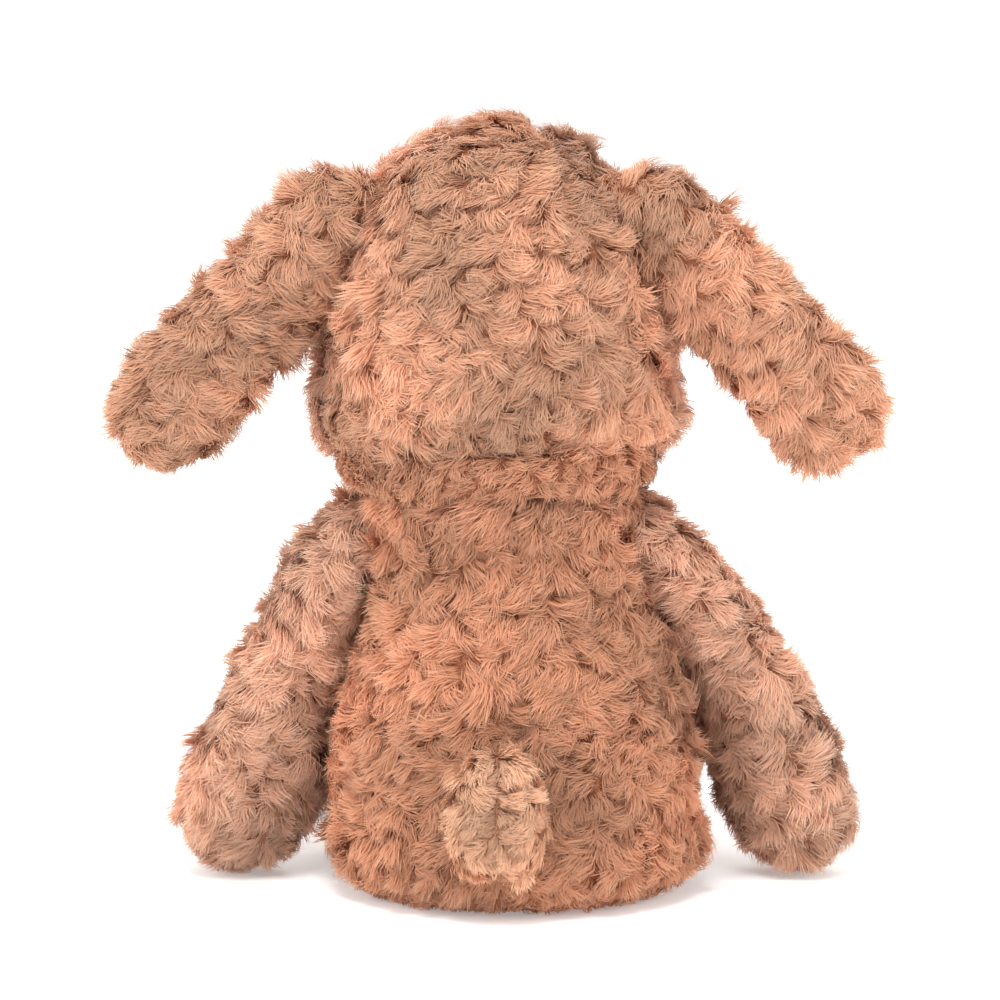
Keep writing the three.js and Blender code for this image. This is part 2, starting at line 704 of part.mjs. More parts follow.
const tailBody = body("tail", tailRoot, torsoBody);
const tailRoom = turned(trunk, -moveGap);
const tailShell = turned(tail).subtract(turned(tail, limbWall)).subtract(tailRoom);
const tailPanels = piecesOf(tailShell.subtract(block(seamGap, big, big, 0, 0, tailAt)));
piece(tailBody, "tail_skin_left", pieceNear(tailPanels, big, 0, tailAt), paleFur());
piece(tailBody, "tail_skin_right", pieceNear(tailPanels, -big, 0, tailAt), paleFur());
piece(tailBody, "tail_stuffing", turned(tail, limbWall + fillGap).subtract(tailRoom), stuffing());

// The origin goes to the middle of the overall box, on the floor.
const group = new THREE.Group();
group.add(dog);
const overall = new THREE.Box3().setFromObject(group);
const middle = overall.getCenter(new THREE.Vector3());
dog.position.set(-middle.x, -middle.y, -overall.min.z);

export default group;
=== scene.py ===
# %% [markdown]
# # A sitting plush dog with shaggy fur
# A plush toy is a knitted backing, sewn inside out into a bag and stuffed, with pile standing on
# the backing. So the model has the same layers: a stuffed form for each part of the body, and a coat
# of strands on it. The coat is the thing that one sees, so it is built from geometry: small locks of
# fur that lie over each other, crumpled into short folds.
# %% Load the frame
import json
import math

import bmesh
import bpy
import numpy as np
from mathutils import Matrix, Vector, noise
from mathutils.bvhtree import BVHTree


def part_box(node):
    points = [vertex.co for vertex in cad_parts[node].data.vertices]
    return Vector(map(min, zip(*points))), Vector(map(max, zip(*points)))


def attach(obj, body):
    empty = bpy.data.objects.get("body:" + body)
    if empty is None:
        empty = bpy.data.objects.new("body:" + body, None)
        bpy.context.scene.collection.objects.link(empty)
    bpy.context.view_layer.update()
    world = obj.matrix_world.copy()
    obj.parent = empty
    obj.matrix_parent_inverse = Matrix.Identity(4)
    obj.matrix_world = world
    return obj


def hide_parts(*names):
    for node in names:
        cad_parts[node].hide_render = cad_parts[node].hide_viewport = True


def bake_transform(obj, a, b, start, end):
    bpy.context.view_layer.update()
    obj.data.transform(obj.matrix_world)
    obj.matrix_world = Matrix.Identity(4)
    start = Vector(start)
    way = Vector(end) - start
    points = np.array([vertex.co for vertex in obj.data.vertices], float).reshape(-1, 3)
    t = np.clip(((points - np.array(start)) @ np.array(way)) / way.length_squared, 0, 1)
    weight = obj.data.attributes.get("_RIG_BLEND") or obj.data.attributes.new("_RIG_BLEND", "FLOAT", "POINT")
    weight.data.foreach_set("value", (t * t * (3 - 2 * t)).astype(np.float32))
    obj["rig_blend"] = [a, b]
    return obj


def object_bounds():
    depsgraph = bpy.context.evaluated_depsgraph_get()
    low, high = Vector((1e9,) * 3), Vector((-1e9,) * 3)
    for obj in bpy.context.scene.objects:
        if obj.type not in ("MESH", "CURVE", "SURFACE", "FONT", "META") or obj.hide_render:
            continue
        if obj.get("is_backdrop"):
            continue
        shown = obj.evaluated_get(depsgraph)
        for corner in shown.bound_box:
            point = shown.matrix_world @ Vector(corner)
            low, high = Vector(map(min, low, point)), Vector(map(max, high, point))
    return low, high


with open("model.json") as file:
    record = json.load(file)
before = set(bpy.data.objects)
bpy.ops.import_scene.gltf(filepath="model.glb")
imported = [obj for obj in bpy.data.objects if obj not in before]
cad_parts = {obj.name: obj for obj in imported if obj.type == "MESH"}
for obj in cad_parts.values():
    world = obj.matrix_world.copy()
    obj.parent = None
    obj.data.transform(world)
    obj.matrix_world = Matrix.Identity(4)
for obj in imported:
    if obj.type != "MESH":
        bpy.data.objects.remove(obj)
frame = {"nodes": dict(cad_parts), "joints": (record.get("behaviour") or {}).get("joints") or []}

MM = 0.001
cad_low, cad_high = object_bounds()
pivots = {joint["child"]: Vector(joint["pos_m"]) for joint in frame["joints"]}
axis_y = pivots["neck"].y
neck_z = pivots["neck"].z
trunk_x = (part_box("seat_skin")[0].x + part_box("seat_skin")[1].x) / 2
gusset_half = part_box("crown_skin")[1].x
ear_y = pivots["ear_left"].y
seat_seam_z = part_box("seat_skin")[1].z
print("toy's box in mm:", [round((b - a) / MM, 1) for a, b in zip(cad_low, cad_high)])
print("trunk leans to x =", round(trunk_x / MM, 1), "mm; head turns at z =", round(neck_z / MM, 1))

# %% [markdown]
# ## Camera, floor and light
# The toy is seen from behind, from a little above, with a long lens, so nothing looks stretched.
# A plain white floor and an even white surround stand in for a light tent. One soft lamp above the
# camera gives the fur its modelling, and three weaker ones fill in from the sides and the front.
# %% Camera
camera_distance = 2.4
camera_elevation = math.radians(9)
view_width = 0.377  # what the picture spans at the toy
sensor_width = 36.0

aim = Vector((-0.0011, axis_y, 0.1486))
towards_camera = Vector((0, math.cos(camera_elevation), math.sin(camera_elevation)))
camera_data = bpy.data.cameras.new("studio_camera")
camera_data.sensor_width = sensor_width
camera_data.lens = sensor_width * camera_distance / view_width
camera_data.clip_end = 60
camera = bpy.data.objects.new("studio_camera", camera_data)
camera.location = aim + camera_distance * towards_camera
camera.rotation_euler = (-towards_camera).to_track_quat("-Z", "Y").to_euler()
bpy.context.scene.collection.objects.link(camera)
bpy.context.scene.camera = camera
bpy.context.scene.view_settings.view_transform = "Standard"
print("lens:", round(camera_data.lens), "mm")


# %% Small helpers for objects and node trees
def link_object(name, data):
    """A new object for data, in the scene."""
    made = bpy.data.objects.new(name, data)
    bpy.context.scene.collection.objects.link(made)
    return made


def mesh_from(name, vertices, faces):
    """A mesh object from points and faces."""
    mesh = bpy.data.meshes.new(name)
    mesh.from_pydata([tuple(v) for v in vertices], [], faces)
    mesh.update()
    return link_object(name, mesh)


def plug(tree, socket, value):
    """Sets a node's input, or links it when the value is another node's output."""
    if isinstance(value, bpy.types.NodeSocket):
        tree.links.new(value, socket)
    else:
        socket.default_value = value


def add(tree, kind, settings=None, **inputs):
    """A node with its options and inputs. An input is named as in the node, with _ for a space."""
    node = tree.nodes.new(kind)
    for key, value in (settings or {}).items():
        setattr(node, key, value)
    for key, value in inputs.items():
        wanted = key.replace("_", " ")
        socket = next(s for s in node.inputs if s.enabled and s.name == wanted)
        plug(tree, socket, value)
    return node


def number(tree, operation, *values):
    """A Math node's result."""
    node = tree.nodes.new("ShaderNodeMath")
    node.operation = operation
    for socket, value in zip(node.inputs, values):
        plug(tree, socket, value)
    return node.outputs[0]


def vector(tree, operation, *values):
    """A Vector Math node's result."""
    node = tree.nodes.new("ShaderNodeVectorMath")
    node.operation = operation
    places = [0, 3] if operation == "SCALE" else range(len(values))
    for place, value in zip(places, values):
        plug(tree, node.inputs[place], value)
    return node.outputs["Value" if operation == "DOT_PRODUCT" else "Vector"]


def rgb(red, green, blue):
    """A linear colour from a colour as one reads it off a screen, 0 to 255."""
    def linear(channel):
        share = channel / 255
        return share / 12.92 if share <= 0.04045 else ((share + 0.055) / 1.055) ** 2.4
    return (linear(red), linear(green), linear(blue), 1.0)


def new_material(name):
    """An empty material with its shader: returns the material, its tree and the shader."""
    material = bpy.data.materials.new(name)
    material.use_nodes = True
    tree = material.node_tree
    tree.nodes.clear()
    shader = tree.nodes.new("ShaderNodeBsdfPrincipled")
    output = tree.nodes.new("ShaderNodeOutputMaterial")
    tree.links.new(shader.outputs["BSDF"], output.inputs["Surface"])
    return material, tree, shader


def ranged(tree, value, low, high, to_low=0.0, to_high=1.0, kind="LINEAR"):
    """A number's place between low and high, as a number between two others."""
    node = tree.nodes.new("ShaderNodeMapRange")
    node.interpolation_type = kind
    parts = {"Value": value, "From Min": low, "From Max": high, "To Min": to_low, "To Max": to_high}
    for key, part in parts.items():
        plug(tree, node.inputs[key], part)
    return node.outputs["Result"]


def mixed(tree, share, first, second, kind="MIX"):
    """Two colours mixed by a share."""
    node = tree.nodes.new("ShaderNodeMix")
    node.data_type = "RGBA"
    node.blend_type = kind
    for key, part in {"Factor_Float": share, "A_Color": first, "B_Color": second}.items():
        plug(tree, next(s for s in node.inputs if s.identifier == key), part)
    return next(s for s in node.outputs if s.identifier == "Result_Color")


def mm(*values):
    """Lengths given in millimetres."""
    return tuple(value * MM for value in values)


# %% Floor and lamps
floor_half = 14.0
floor = mesh_from(
    "studio_floor",
    [(-floor_half, -floor_half, 0), (floor_half, -floor_half, 0),
     (floor_half, floor_half, 0), (-floor_half, floor_half, 0)],
    [(0, 1, 2, 3)],
)
floor_material, _, floor_shader = new_material("white_floor")
floor_shader.inputs["Base Color"].default_value = (0.93, 0.925, 0.92, 1)
floor_shader.inputs["Roughness"].default_value = 0.9
floor_shader.inputs["Specular IOR Level"].default_value = 0.1
floor_shader.inputs["Emission Color"].default_value = (1, 1, 1, 1)
floor_shader.inputs["Emission Strength"].default_value = 0.26
floor.data.materials.append(floor_material)
floor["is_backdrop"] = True

world = bpy.data.worlds.new("light_tent")
bpy.context.scene.world = world
world.use_nodes = True
world.node_tree.nodes["Background"].inputs["Color"].default_value = (1, 1, 1, 1)
world.node_tree.nodes["Background"].inputs["Strength"].default_value = 0.84


def soft_lamp(name, azimuth, elevation, distance, size, power):
    """A square lamp that faces the toy, from a side given in degrees: 180 is behind the toy."""
    turn, lift = math.radians(azimuth), math.radians(elevation)
    away = Vector((math.sin(turn) * math.cos(lift), -math.cos(turn) * math.cos(lift), math.sin(lift)))
    data = bpy.data.lights.new(name, "AREA")
    data.size = size
    data.energy = power
    lamp = link_object(name, data)
    lamp.location = aim + away * distance
    lamp.rotation_euler = (-away).to_track_quat("-Z", "Y").to_euler()
    return lamp


soft_lamp("top_softbox", 170, 62, 1.5, 0.7, 19)
soft_lamp("right_softbox", 250, 25, 1.8, 0.8, 8)
soft_lamp("left_softbox", 108, 25, 1.8, 0.8, 11)
soft_lamp("front_softbox", -20, 45, 1.8, 0.8, 8)

# %% [markdown]
# ## Stuffed forms
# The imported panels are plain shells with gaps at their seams. One bag is made of each part of the
# body: its panels and stuffing are copied into one mesh, and a voxel remesh closes the seams. The
# bag is the knitted backing, so it lies a few millimetres under the coat's surface. A cloth
# simulation with a little air pressure then fills it, as stuffing does, and one subdivision smooths
# it. The pressure pass could be left out on a coat as deep as this one, but it takes the facets out
# of the form and gives it the crown that stuffing gives.
# %% Make a stuffed form
voxel = 5 * MM
pressure_frames = 20
pressure_cap = 5 * MM


def joined_copy(name, nodes):
    """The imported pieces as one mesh, with their loose triangles merged."""
    bm = bmesh.new()
    for node in nodes:
        bm.from_mesh(frame["nodes"][node].data)
    bmesh.ops.remove_doubles(bm, verts=bm.verts, dist=0.005 * MM)
    mesh = bpy.data.meshes.new(name)
    bm.to_mesh(mesh)
    bm.free()
    return link_object(name, mesh)


def apply_modifiers(piece):
    """Replaces a piece's mesh by what its modifiers make of it."""
    view = bpy.context.evaluated_depsgraph_get()
    made = bpy.data.meshes.new_from_object(piece.evaluated_get(view))
    old = piece.data
    piece.modifiers.clear()
    piece.data = made
    bpy.data.meshes.remove(old)


def positions(mesh):
    """A mesh's points as an array."""
    points = np.zeros(len(mesh.vertices) * 3)
    mesh.vertices.foreach_get("co", points)
    return points.reshape(-1, 3)


def normals(mesh):
    """A mesh's vertex normals as an array."""
    made = np.zeros(len(mesh.vertices) * 3)
    mesh.vertex_normals.foreach_get("vector", made)
    return made.reshape(-1, 3)


def place(mesh, points):
    """Moves a mesh's points."""
    mesh.vertices.foreach_set("co", np.ascontiguousarray(points, float).ravel())
    mesh.update()


def outer_bag(piece):
    """Keeps the largest of a mesh's loose bodies, without the small hollows inside it."""
    bm = bmesh.new()
    bm.from_mesh(piece.data)
    left = set(bm.verts)
    bodies = []
    while left:
        queue = [left.pop()]
        body = set(queue)
        while queue:
            for edge in queue.pop().link_edges:
                for vertex in edge.verts:
                    if vertex in left:
                        left.remove(vertex)
                        body.add(vertex)
                        queue.append(vertex)
        bodies.append(body)
    largest = max(bodies, key=len)
    extra = [v for body in bodies if body is not largest for v in body]
    bmesh.ops.delete(bm, geom=extra, context="VERTS")
    bm.to_mesh(piece.data)
    bm.free()


def pressurised(piece):
    """Fills a bag with a little air, and returns its points after that."""
    cloth = piece.modifiers.new("stuffing_pressure", "CLOTH")
    settings = cloth.settings
    settings.quality = 4
    settings.use_pressure = True
    settings.uniform_pressure_force = 4
    settings.effector_weights.gravity = 0
    settings.tension_stiffness = 25
    settings.compression_stiffness = 25
    scene = bpy.context.scene
    for step in range(1, pressure_frames + 1):
        scene.frame_set(step)
    view = bpy.context.evaluated_depsgraph_get()
    swollen = positions(piece.evaluated_get(view).data)
    piece.modifiers.remove(cloth)
    scene.frame_set(1)
    return swollen


def stuffed_form(name, nodes, depth, grain=voxel):
    """A closed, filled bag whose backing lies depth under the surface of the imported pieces."""
    piece = joined_copy(name, nodes)
    remesh = piece.modifiers.new("close_seams", "REMESH")
    remesh.mode = "VOXEL"
    remesh.voxel_size = grain
    apply_modifiers(piece)
    outer_bag(piece)
    before = positions(piece.data)
    smooth = piece.modifiers.new("soften", "SMOOTH")
    smooth.factor = 0.5
    smooth.iterations = 5
    apply_modifiers(piece)
    out = normals(piece.data)
    lost = np.mean(np.sum((before - positions(piece.data)) * out, axis=1))
    swell = 1.2 * MM
    place(piece.data, positions(piece.data) + out * (lost - depth - swell))
    start = positions(piece.data)
    moved = normals(piece.data) * swell
    moved = pressurised(piece) - start
    far = np.linalg.norm(moved, axis=1, keepdims=True)
    moved *= np.minimum(1, pressure_cap / np.maximum(far, 1e-9))
    # what the pressure moves everything by is taken as the swell that was allowed for
    outward = np.sum(moved * normals(piece.data), axis=1)
    moved += normals(piece.data) * (swell - np.mean(outward))
    place(piece.data, start + moved)
    level = piece.modifiers.new("smooth_cloth", "SUBSURF")
    level.levels = 1
    level.render_levels = 1
    apply_modifiers(piece)
    piece.data.shade_smooth()
    print(f"{name}: {len(piece.data.vertices)} points, moved {np.abs(moved).max() / MM:.1f} mm at most")
    return piece


def nudge(piece, middle, reach, move):
    """Moves the part of a form within reach of a point, fading to nothing at the reach."""
    points = positions(piece.data)
    gap = np.linalg.norm((points - np.array(middle)) / np.array(reach), axis=1)
    share = np.clip(1 - gap, 0, 1)
    share = share * share * (3 - 2 * share)
    place(piece.data, points + share[:, None] * np.array(move))


def tuck(piece, onto, reach, share):
    """Draws the part of a form that lies near another form towards it, where the two are sewn."""
    onto.data.calc_loop_triangles()
    corners = [tuple(t.vertices) for t in onto.data.loop_triangles]
    surface = BVHTree.FromPolygons([v.co for v in onto.data.vertices], corners)
    points = positions(piece.data)
    for i, vertex in enumerate(piece.data.vertices):
        spot, _, _, gap = surface.find_nearest(vertex.co)
        near = max(0, 1 - gap / reach)
        points[i] += np.array(spot - vertex.co) * share * near * near * (3 - 2 * near)
    place(piece.data, points)


# %% [markdown]
# Where two panels meet, the thread pulls the backing in, and the fur parts a little over the seam.
# The seams of this toy lie in planes: the sides and the middle of the trunk, the line round the
# back of the head, and the two lines of the strip that runs from the crown over the face.
# %% Seams
seam_depth = 2.2 * MM
seam_reach = 4.5 * MM


def seam_pull(points, distances, inside):
    """How far each point is pulled in, from its distances to the seams' planes."""
    pull = np.zeros(len(points))
    for distance, where in zip(distances, inside):
        pull = np.maximum(pull, np.where(where, np.exp(-((distance / seam_reach) ** 2)), 0))
    return pull


def trunk_seams(p):
    sides = np.abs(p[:, 1] - axis_y)
    middle = np.abs(p[:, 0] - trunk_x)
    seat = np.abs(p[:, 2] - seat_seam_z)
    above = p[:, 2] > seat_seam_z
    return seam_pull(p, [sides, middle, seat], [above, above & (p[:, 1] > axis_y), np.full(len(p), True)])


def head_seams(p):
    round_back = np.abs(p[:, 1] - ear_y)
    strip = np.abs(np.abs(p[:, 0]) - gusset_half)
    return seam_pull(p, [round_back, strip], [np.full(len(p), True), p[:, 1] < ear_y])


def ear_seams(p):
    return seam_pull(p, [np.abs(p[:, 1] - ear_y)], [np.full(len(p), True)])


def tail_seams(p):
    return seam_pull(p, [np.abs(p[:, 0])], [np.full(len(p), True)])


def no_seams(p):
    return np.zeros(len(p))


# %% [markdown]
# ## How the fur lies
# Fur has a direction, set when the pile is brushed after sewing: down the back, outwards over the
# head, along the ears and the arms. On shaggy fur each lock then twists its own way, so a slow noise
# turns the direction as well. A direction and a length factor are stored at every point of a form,
# where Geometry Nodes read them.
# %% Comb directions
swirl_size = 30 * MM
swirl_angle = math.radians(62)
swirl_gain = 1.6  # the noise seldom reaches 1


def swirl(point, seed):
    """A slow random turn, from -1 to 1, that changes over the surface."""
    return noise.noise(Vector(point) / swirl_size + Vector((seed, 3.1 * seed, 0.0)))


def down_and_out(centre, outward):
    """Fur that falls, and leans away from an axis by a share."""
    def comb(point):
        away = Vector((point.x - centre.x, point.y - centre.y, 0))
        if away.length > 1e-6:
            away.normalize()
        return away * outward + Vector((0, 0, -1))
    return comb


def along_ear(side):
    """Fur that runs from the ear's root to its tip."""
    low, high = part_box("ear_back_skin_left" if side > 0 else "ear_back_skin_right")
    root = pivots["ear_left" if side > 0 else "ear_right"]
    tip = Vector((high.x if side > 0 else low.x, ear_y, low.z))
    line = (tip - root).normalized()
    def comb(point):
        out = Vector((0, 0, point.z - (root.z + line.z / line.x * (point.x - root.x)))) * 6
        return line + out
    return comb


def away_from(centre, fall):
    """Fur that bursts from a point, with a little fall."""
    def comb(point):
        return (point - centre).normalized() + Vector((0, 0, -fall))
    return comb


# %% Store the direction and the length factor on a form
lowest = 0.4 * MM  # of a form, above the floor
seam_thinning = 0.3
# painted shade: how much darker the strands are where a seam pulls the backing in
seam_painted_shade = 0.12
pile_patch, pile_change = 24 * MM, 0.16  # how wide the longer and shorter patches are, and how strong
shade_patch, shade_change = 38 * MM, 0.5


def groom(piece, comb, seams, seed, length_at=None, swirl_share=1.0, shade_at=None):
    """Pulls the seams in and stores comb, pile and shade at each point of a form."""
    mesh = piece.data
    points = positions(mesh)
    pull = seams(points)
    points = points - normals(mesh) * (pull * seam_depth)[:, None]
    points[:, 2] = np.maximum(points[:, 2], lowest)
    place(mesh, points)
    out = normals(mesh)
    combs = np.zeros((len(points), 3))
    pile = np.ones(len(points))
    shade = np.zeros(len(points))
    for i, vertex in enumerate(mesh.vertices):
        normal = Vector(out[i])
        lie = comb(vertex.co)
        lie -= normal * lie.dot(normal)
        if lie.length < 1e-5:
            lie = normal.orthogonal()
        turn = swirl(vertex.co, seed) * swirl_gain * swirl_angle * swirl_share
        lie = Matrix.Rotation(turn, 3, normal) @ lie.normalized()
        combs[i] = lie
        pile[i] = (1 - seam_thinning * pull[i]) * (1 + pile_change * noise.noise(vertex.co / pile_patch))
        pile[i] *= length_at(vertex.co) if length_at else 1
        shade[i] = shade_change * noise.noise(vertex.co / shade_patch + Vector((seed, 0, 0)))
        # painted shade along the seams
        shade[i] -= seam_painted_shade * pull[i]
        shade[i] += shade_at(vertex.co) if shade_at else 0
    for name, values in (("comb", combs), ("pile", pile), ("shade", shade)):
        is_vector = values.ndim == 2
        attribute = mesh.attributes.new(name, "FLOAT_VECTOR" if is_vector else "FLOAT", "POINT")
        attribute.data.foreach_set("vector" if is_vector else "value", values.ravel())
    return piece


# %% [markdown]
# ## The coat, made by Geometry Nodes
# A lock is some fifty strands that grow side by side and hold together at their tips. The tree
# scatters lock centres and strands over the backing, gives each strand its nearest lock, and bends
# it: it rises, leans over in the lock's direction and is drawn towards the lock's middle. Then the
# whole pile is pressed in along short wavy folds. A strand is a narrow ribbon of three triangles, so
# that the whole coat stays light.
# %% One strand
def strand_template():
    """A ribbon of unit length along Z and unit width along X."""
    stations = [(0.0, 0.5), (0.55, 0.5)]
    vertices, faces = [], []
    for along, half in stations:
        vertices += [(-half, 0, along), (half, 0, along)]
    vertices.append((0, 0, 1))
    for step in range(len(stations) - 1):
        a = 2 * step
        faces.append((a, a + 1, a + 3, a + 2))
    faces.append((2, 3, 4))
    template = mesh_from("strand_template", vertices, faces)
    bpy.context.scene.collection.objects.unlink(template)
    across = template.data.attributes.new("across", "FLOAT", "POINT")
    across.data.foreach_set("value", [v[0] for v in vertices])
    along = template.data.attributes.new("along", "FLOAT", "POINT")
    along.data.foreach_set("value", [v[2] for v in vertices])
    return template


strand = strand_template()


# %% The coat's tree
def named(tree, name, kind="FLOAT"):
    """A stored attribute's value."""
    return add(tree, "GeometryNodeInputNamedAttribute", {"data_type": kind}, Name=name).outputs["Attribute"]


def store(tree, geometry, name, value, kind="FLOAT_VECTOR", domain="POINT"):
    """Stores a value on a geometry."""
    made = add(
        tree, "GeometryNodeStoreNamedAttribute", {"data_type": kind, "domain": domain},
        Geometry=geometry, Name=name, Value=value,
    )
    return made.outputs["Geometry"]


def dice(tree, seed, id_from=None):
    """Three random numbers from 0 to 1."""
    node = add(tree, "FunctionNodeRandomValue", {"data_type": "FLOAT_VECTOR"}, Seed=seed)
    if id_from is not None:
        tree.links.new(id_from, node.inputs["ID"])
    return node.outputs[0]


def centred(tree, value, span):
    """Turns a number from 0 to 1 into one from -span/2 to span/2."""
    return number(tree, "MULTIPLY", number(tree, "SUBTRACT", value, 0.5), span)


def three(tree, name):
    """The three parts of a stored vector."""
    split = tree.nodes.new("ShaderNodeSeparateXYZ")
    plug(tree, split.inputs[0], named(tree, name, "FLOAT_VECTOR"))
    return split.outputs


def times(tree, first, *others):
    """Numbers multiplied, one after the other."""
    for other in others:
        first = number(tree, "MULTIPLY", first, other)
    return first


# %% [markdown]
# The tree works in four steps, and each is a function here. Strands are scattered and take what they
# need from their lock, a strand's bend is worked out, the pile is crumpled, and each strand gets its
# place on the map that its colour is read from.
# %% Step 1: scatter strands and locks
lock_gap = 0.78  # the least gap between locks, as a share of their spacing
lock_wander = 1.1  # how far a lock's border wanders, as a share of the spacing
wobble_scale = 160.0


def scattered_strands(tree, given):
    """Strands on the backing, each with its root, its random numbers and its lock's."""
    seed = given["Seed"]
    scatter = add(
        tree, "GeometryNodeDistributePointsOnFaces", {"distribute_method": "RANDOM"},
        Mesh=given["Backing"], Density=given["Density"], Seed=seed,
    )
    locks = add(
        tree, "GeometryNodeDistributePointsOnFaces", {"distribute_method": "POISSON"},
        Mesh=given["Backing"], Distance_Min=times(tree, given["Lock spacing"], lock_gap),
        Density_Max=90000.0, Density_Factor=1.0, Seed=number(tree, "ADD", seed, 1.0),
    )
    # each strand belongs to the nearest lock; a wobble keeps the locks' borders uneven
    here = tree.nodes.new("GeometryNodeInputPosition").outputs[0]
    wobble = add(tree, "ShaderNodeTexNoise", None, Vector=here, Scale=wobble_scale, Detail=1.0)
    shaken = vector(tree, "SUBTRACT", wobble.outputs["Color"], (0.5, 0.5, 0.5))
    shift = vector(tree, "SCALE", shaken, times(tree, given["Lock spacing"], lock_wander))
    nearest = add(
        tree, "GeometryNodeSampleNearest", None,
        Geometry=locks.outputs["Points"], Sample_Position=vector(tree, "ADD", here, shift),
    ).outputs["Index"]

    def of_lock(value):
        return add(
            tree, "GeometryNodeSampleIndex", {"data_type": "FLOAT_VECTOR"},
            Geometry=locks.outputs["Points"], Value=value, Index=nearest,
        ).outputs["Value"]

    points = scatter.outputs["Points"]
    points = store(tree, points, "root", here)
    points = store(tree, points, "out", scatter.outputs["Normal"])
    points = store(tree, points, "lock_at", of_lock(here))
    points = store(tree, points, "lock_comb", of_lock(named(tree, "comb", "FLOAT_VECTOR")))
    points = store(tree, points, "lock_dice", dice(tree, seed, nearest))
    points = store(tree, points, "hair_dice", dice(tree, number(tree, "ADD", seed, 2.0)))
    points = store(tree, points, "curl_dice", dice(tree, number(tree, "ADD", seed, 3.0)))
    template = add(tree, "GeometryNodeObjectInfo", None, Object=given["Strand"]).outputs["Geometry"]
    grown = add(tree, "GeometryNodeInstanceOnPoints", None, Points=points, Instance=template)
    return add(tree, "GeometryNodeRealizeInstances", None, Geometry=grown.outputs["Instances"]).outputs[0]


# %% Step 2: bend a strand
lock_length, lock_length_span = 0.9, 0.6  # a lock's length factor, and how much it varies
hair_length, hair_length_span = 1.06, 0.55
hair_turn_span = 1.0  # radians
lock_lift_span, hair_lift_span = 1.5, 0.2
rise_power = 2.2  # a strand rises fast at its foot
reach_power, reach_share = 1.25, 0.88  # and leans over more towards its tip
sway_waves, sway_share = 5.0, 0.2
full_turn = 6.28
stray_power = 5.0  # the higher, the fewer strands stray from their lock
hold_power = 1.3
tilt_span = 0.6  # radians that a ribbon may lie askew


def strand_spine(tree, given, side, lie, lock, hair, curl):
    """The middle line of a strand: it rises, leans over, sways, and is drawn to its lock's middle."""
    out, along = named(tree, "out", "FLOAT_VECTOR"), named(tree, "along")
    length = times(tree, given["Pile length"], named(tree, "pile"))
    lock_share = number(tree, "ADD", lock_length, centred(tree, lock[0], lock_length_span))
    hair_share = number(tree, "ADD", hair_length, centred(tree, hair[0], hair_length_span))
    length = times(tree, length, lock_share, hair_share)

    lift = number(tree, "ADD", 1.0, centred(tree, lock[2], lock_lift_span))
    lift = number(tree, "ADD", times(tree, given["Lift"], lift), centred(tree, curl[0], hair_lift_span))
    fallen = number(tree, "POWER", number(tree, "SUBTRACT", 1.0, along), rise_power)
    rise = times(tree, number(tree, "SUBTRACT", 1.0, fallen), lift)
    reach = times(tree, number(tree, "POWER", along, reach_power), reach_share)
    phase = number(tree, "ADD", times(tree, along, sway_waves), times(tree, lock[1], full_turn))
    sway = times(tree, number(tree, "SINE", phase), sway_share, along)
    bend = vector(tree, "ADD", vector(tree, "SCALE", out, rise), vector(tree, "SCALE", lie, reach))
    bend = vector(tree, "ADD", bend, vector(tree, "SCALE", side, sway))
    bend = vector(tree, "SCALE", bend, length)

    stray = number(tree, "POWER", curl[1], stray_power)
    hold = times(tree, given["Lock hold"], number(tree, "SUBTRACT", 1.0, stray))
    hold = times(tree, hold, number(tree, "POWER", along, hold_power))
    root = named(tree, "root", "FLOAT_VECTOR")
    to_lock = vector(tree, "SUBTRACT", named(tree, "lock_at", "FLOAT_VECTOR"), root)
    return vector(tree, "ADD", root, vector(tree, "ADD", bend, vector(tree, "SCALE", to_lock, hold)))


def bent_strand(tree, given, lock, hair, curl):
    """A strand's middle line, and where the ribbon's own points lie beside it."""
    out = named(tree, "out", "FLOAT_VECTOR")
    comb = named(tree, "lock_comb", "FLOAT_VECTOR")
    flat = vector(tree, "SUBTRACT", comb, vector(tree, "SCALE", out, vector(tree, "DOT_PRODUCT", comb, out)))
    turn = times(tree, given["Twist"], centred(tree, lock[1], 2.0))
    turn = number(tree, "ADD", turn, centred(tree, hair[1], hair_turn_span))
    lie = add(
        tree, "ShaderNodeVectorRotate", {"rotation_type": "AXIS_ANGLE"},
        Vector=vector(tree, "NORMALIZE", flat), Axis=out, Angle=turn,
    ).outputs[0]
    side = vector(tree, "CROSS_PRODUCT", lie, out)
    spine = strand_spine(tree, given, side, lie, lock, hair, curl)
    tilt = centred(tree, curl[2], tilt_span)
    broad = vector(tree, "ADD", vector(tree, "SCALE", side, number(tree, "COSINE", tilt)),
                   vector(tree, "SCALE", out, number(tree, "SINE", tilt)))
    width = times(tree, named(tree, "across"), given["Strand width"])
    return spine, vector(tree, "ADD", spine, vector(tree, "SCALE", broad, width))


# %% Step 3: crumple the pile
fold_stretch = (0.75, 0.75, 1.45)  # folds are longer sideways than they are high
fold_wall = 0.11  # how wide a fold is next to the space between folds
fold_detail, fold_distortion = 1.5, 0.6
ground_scatter = 0.002  # metres: the lowest tips don't end at one height


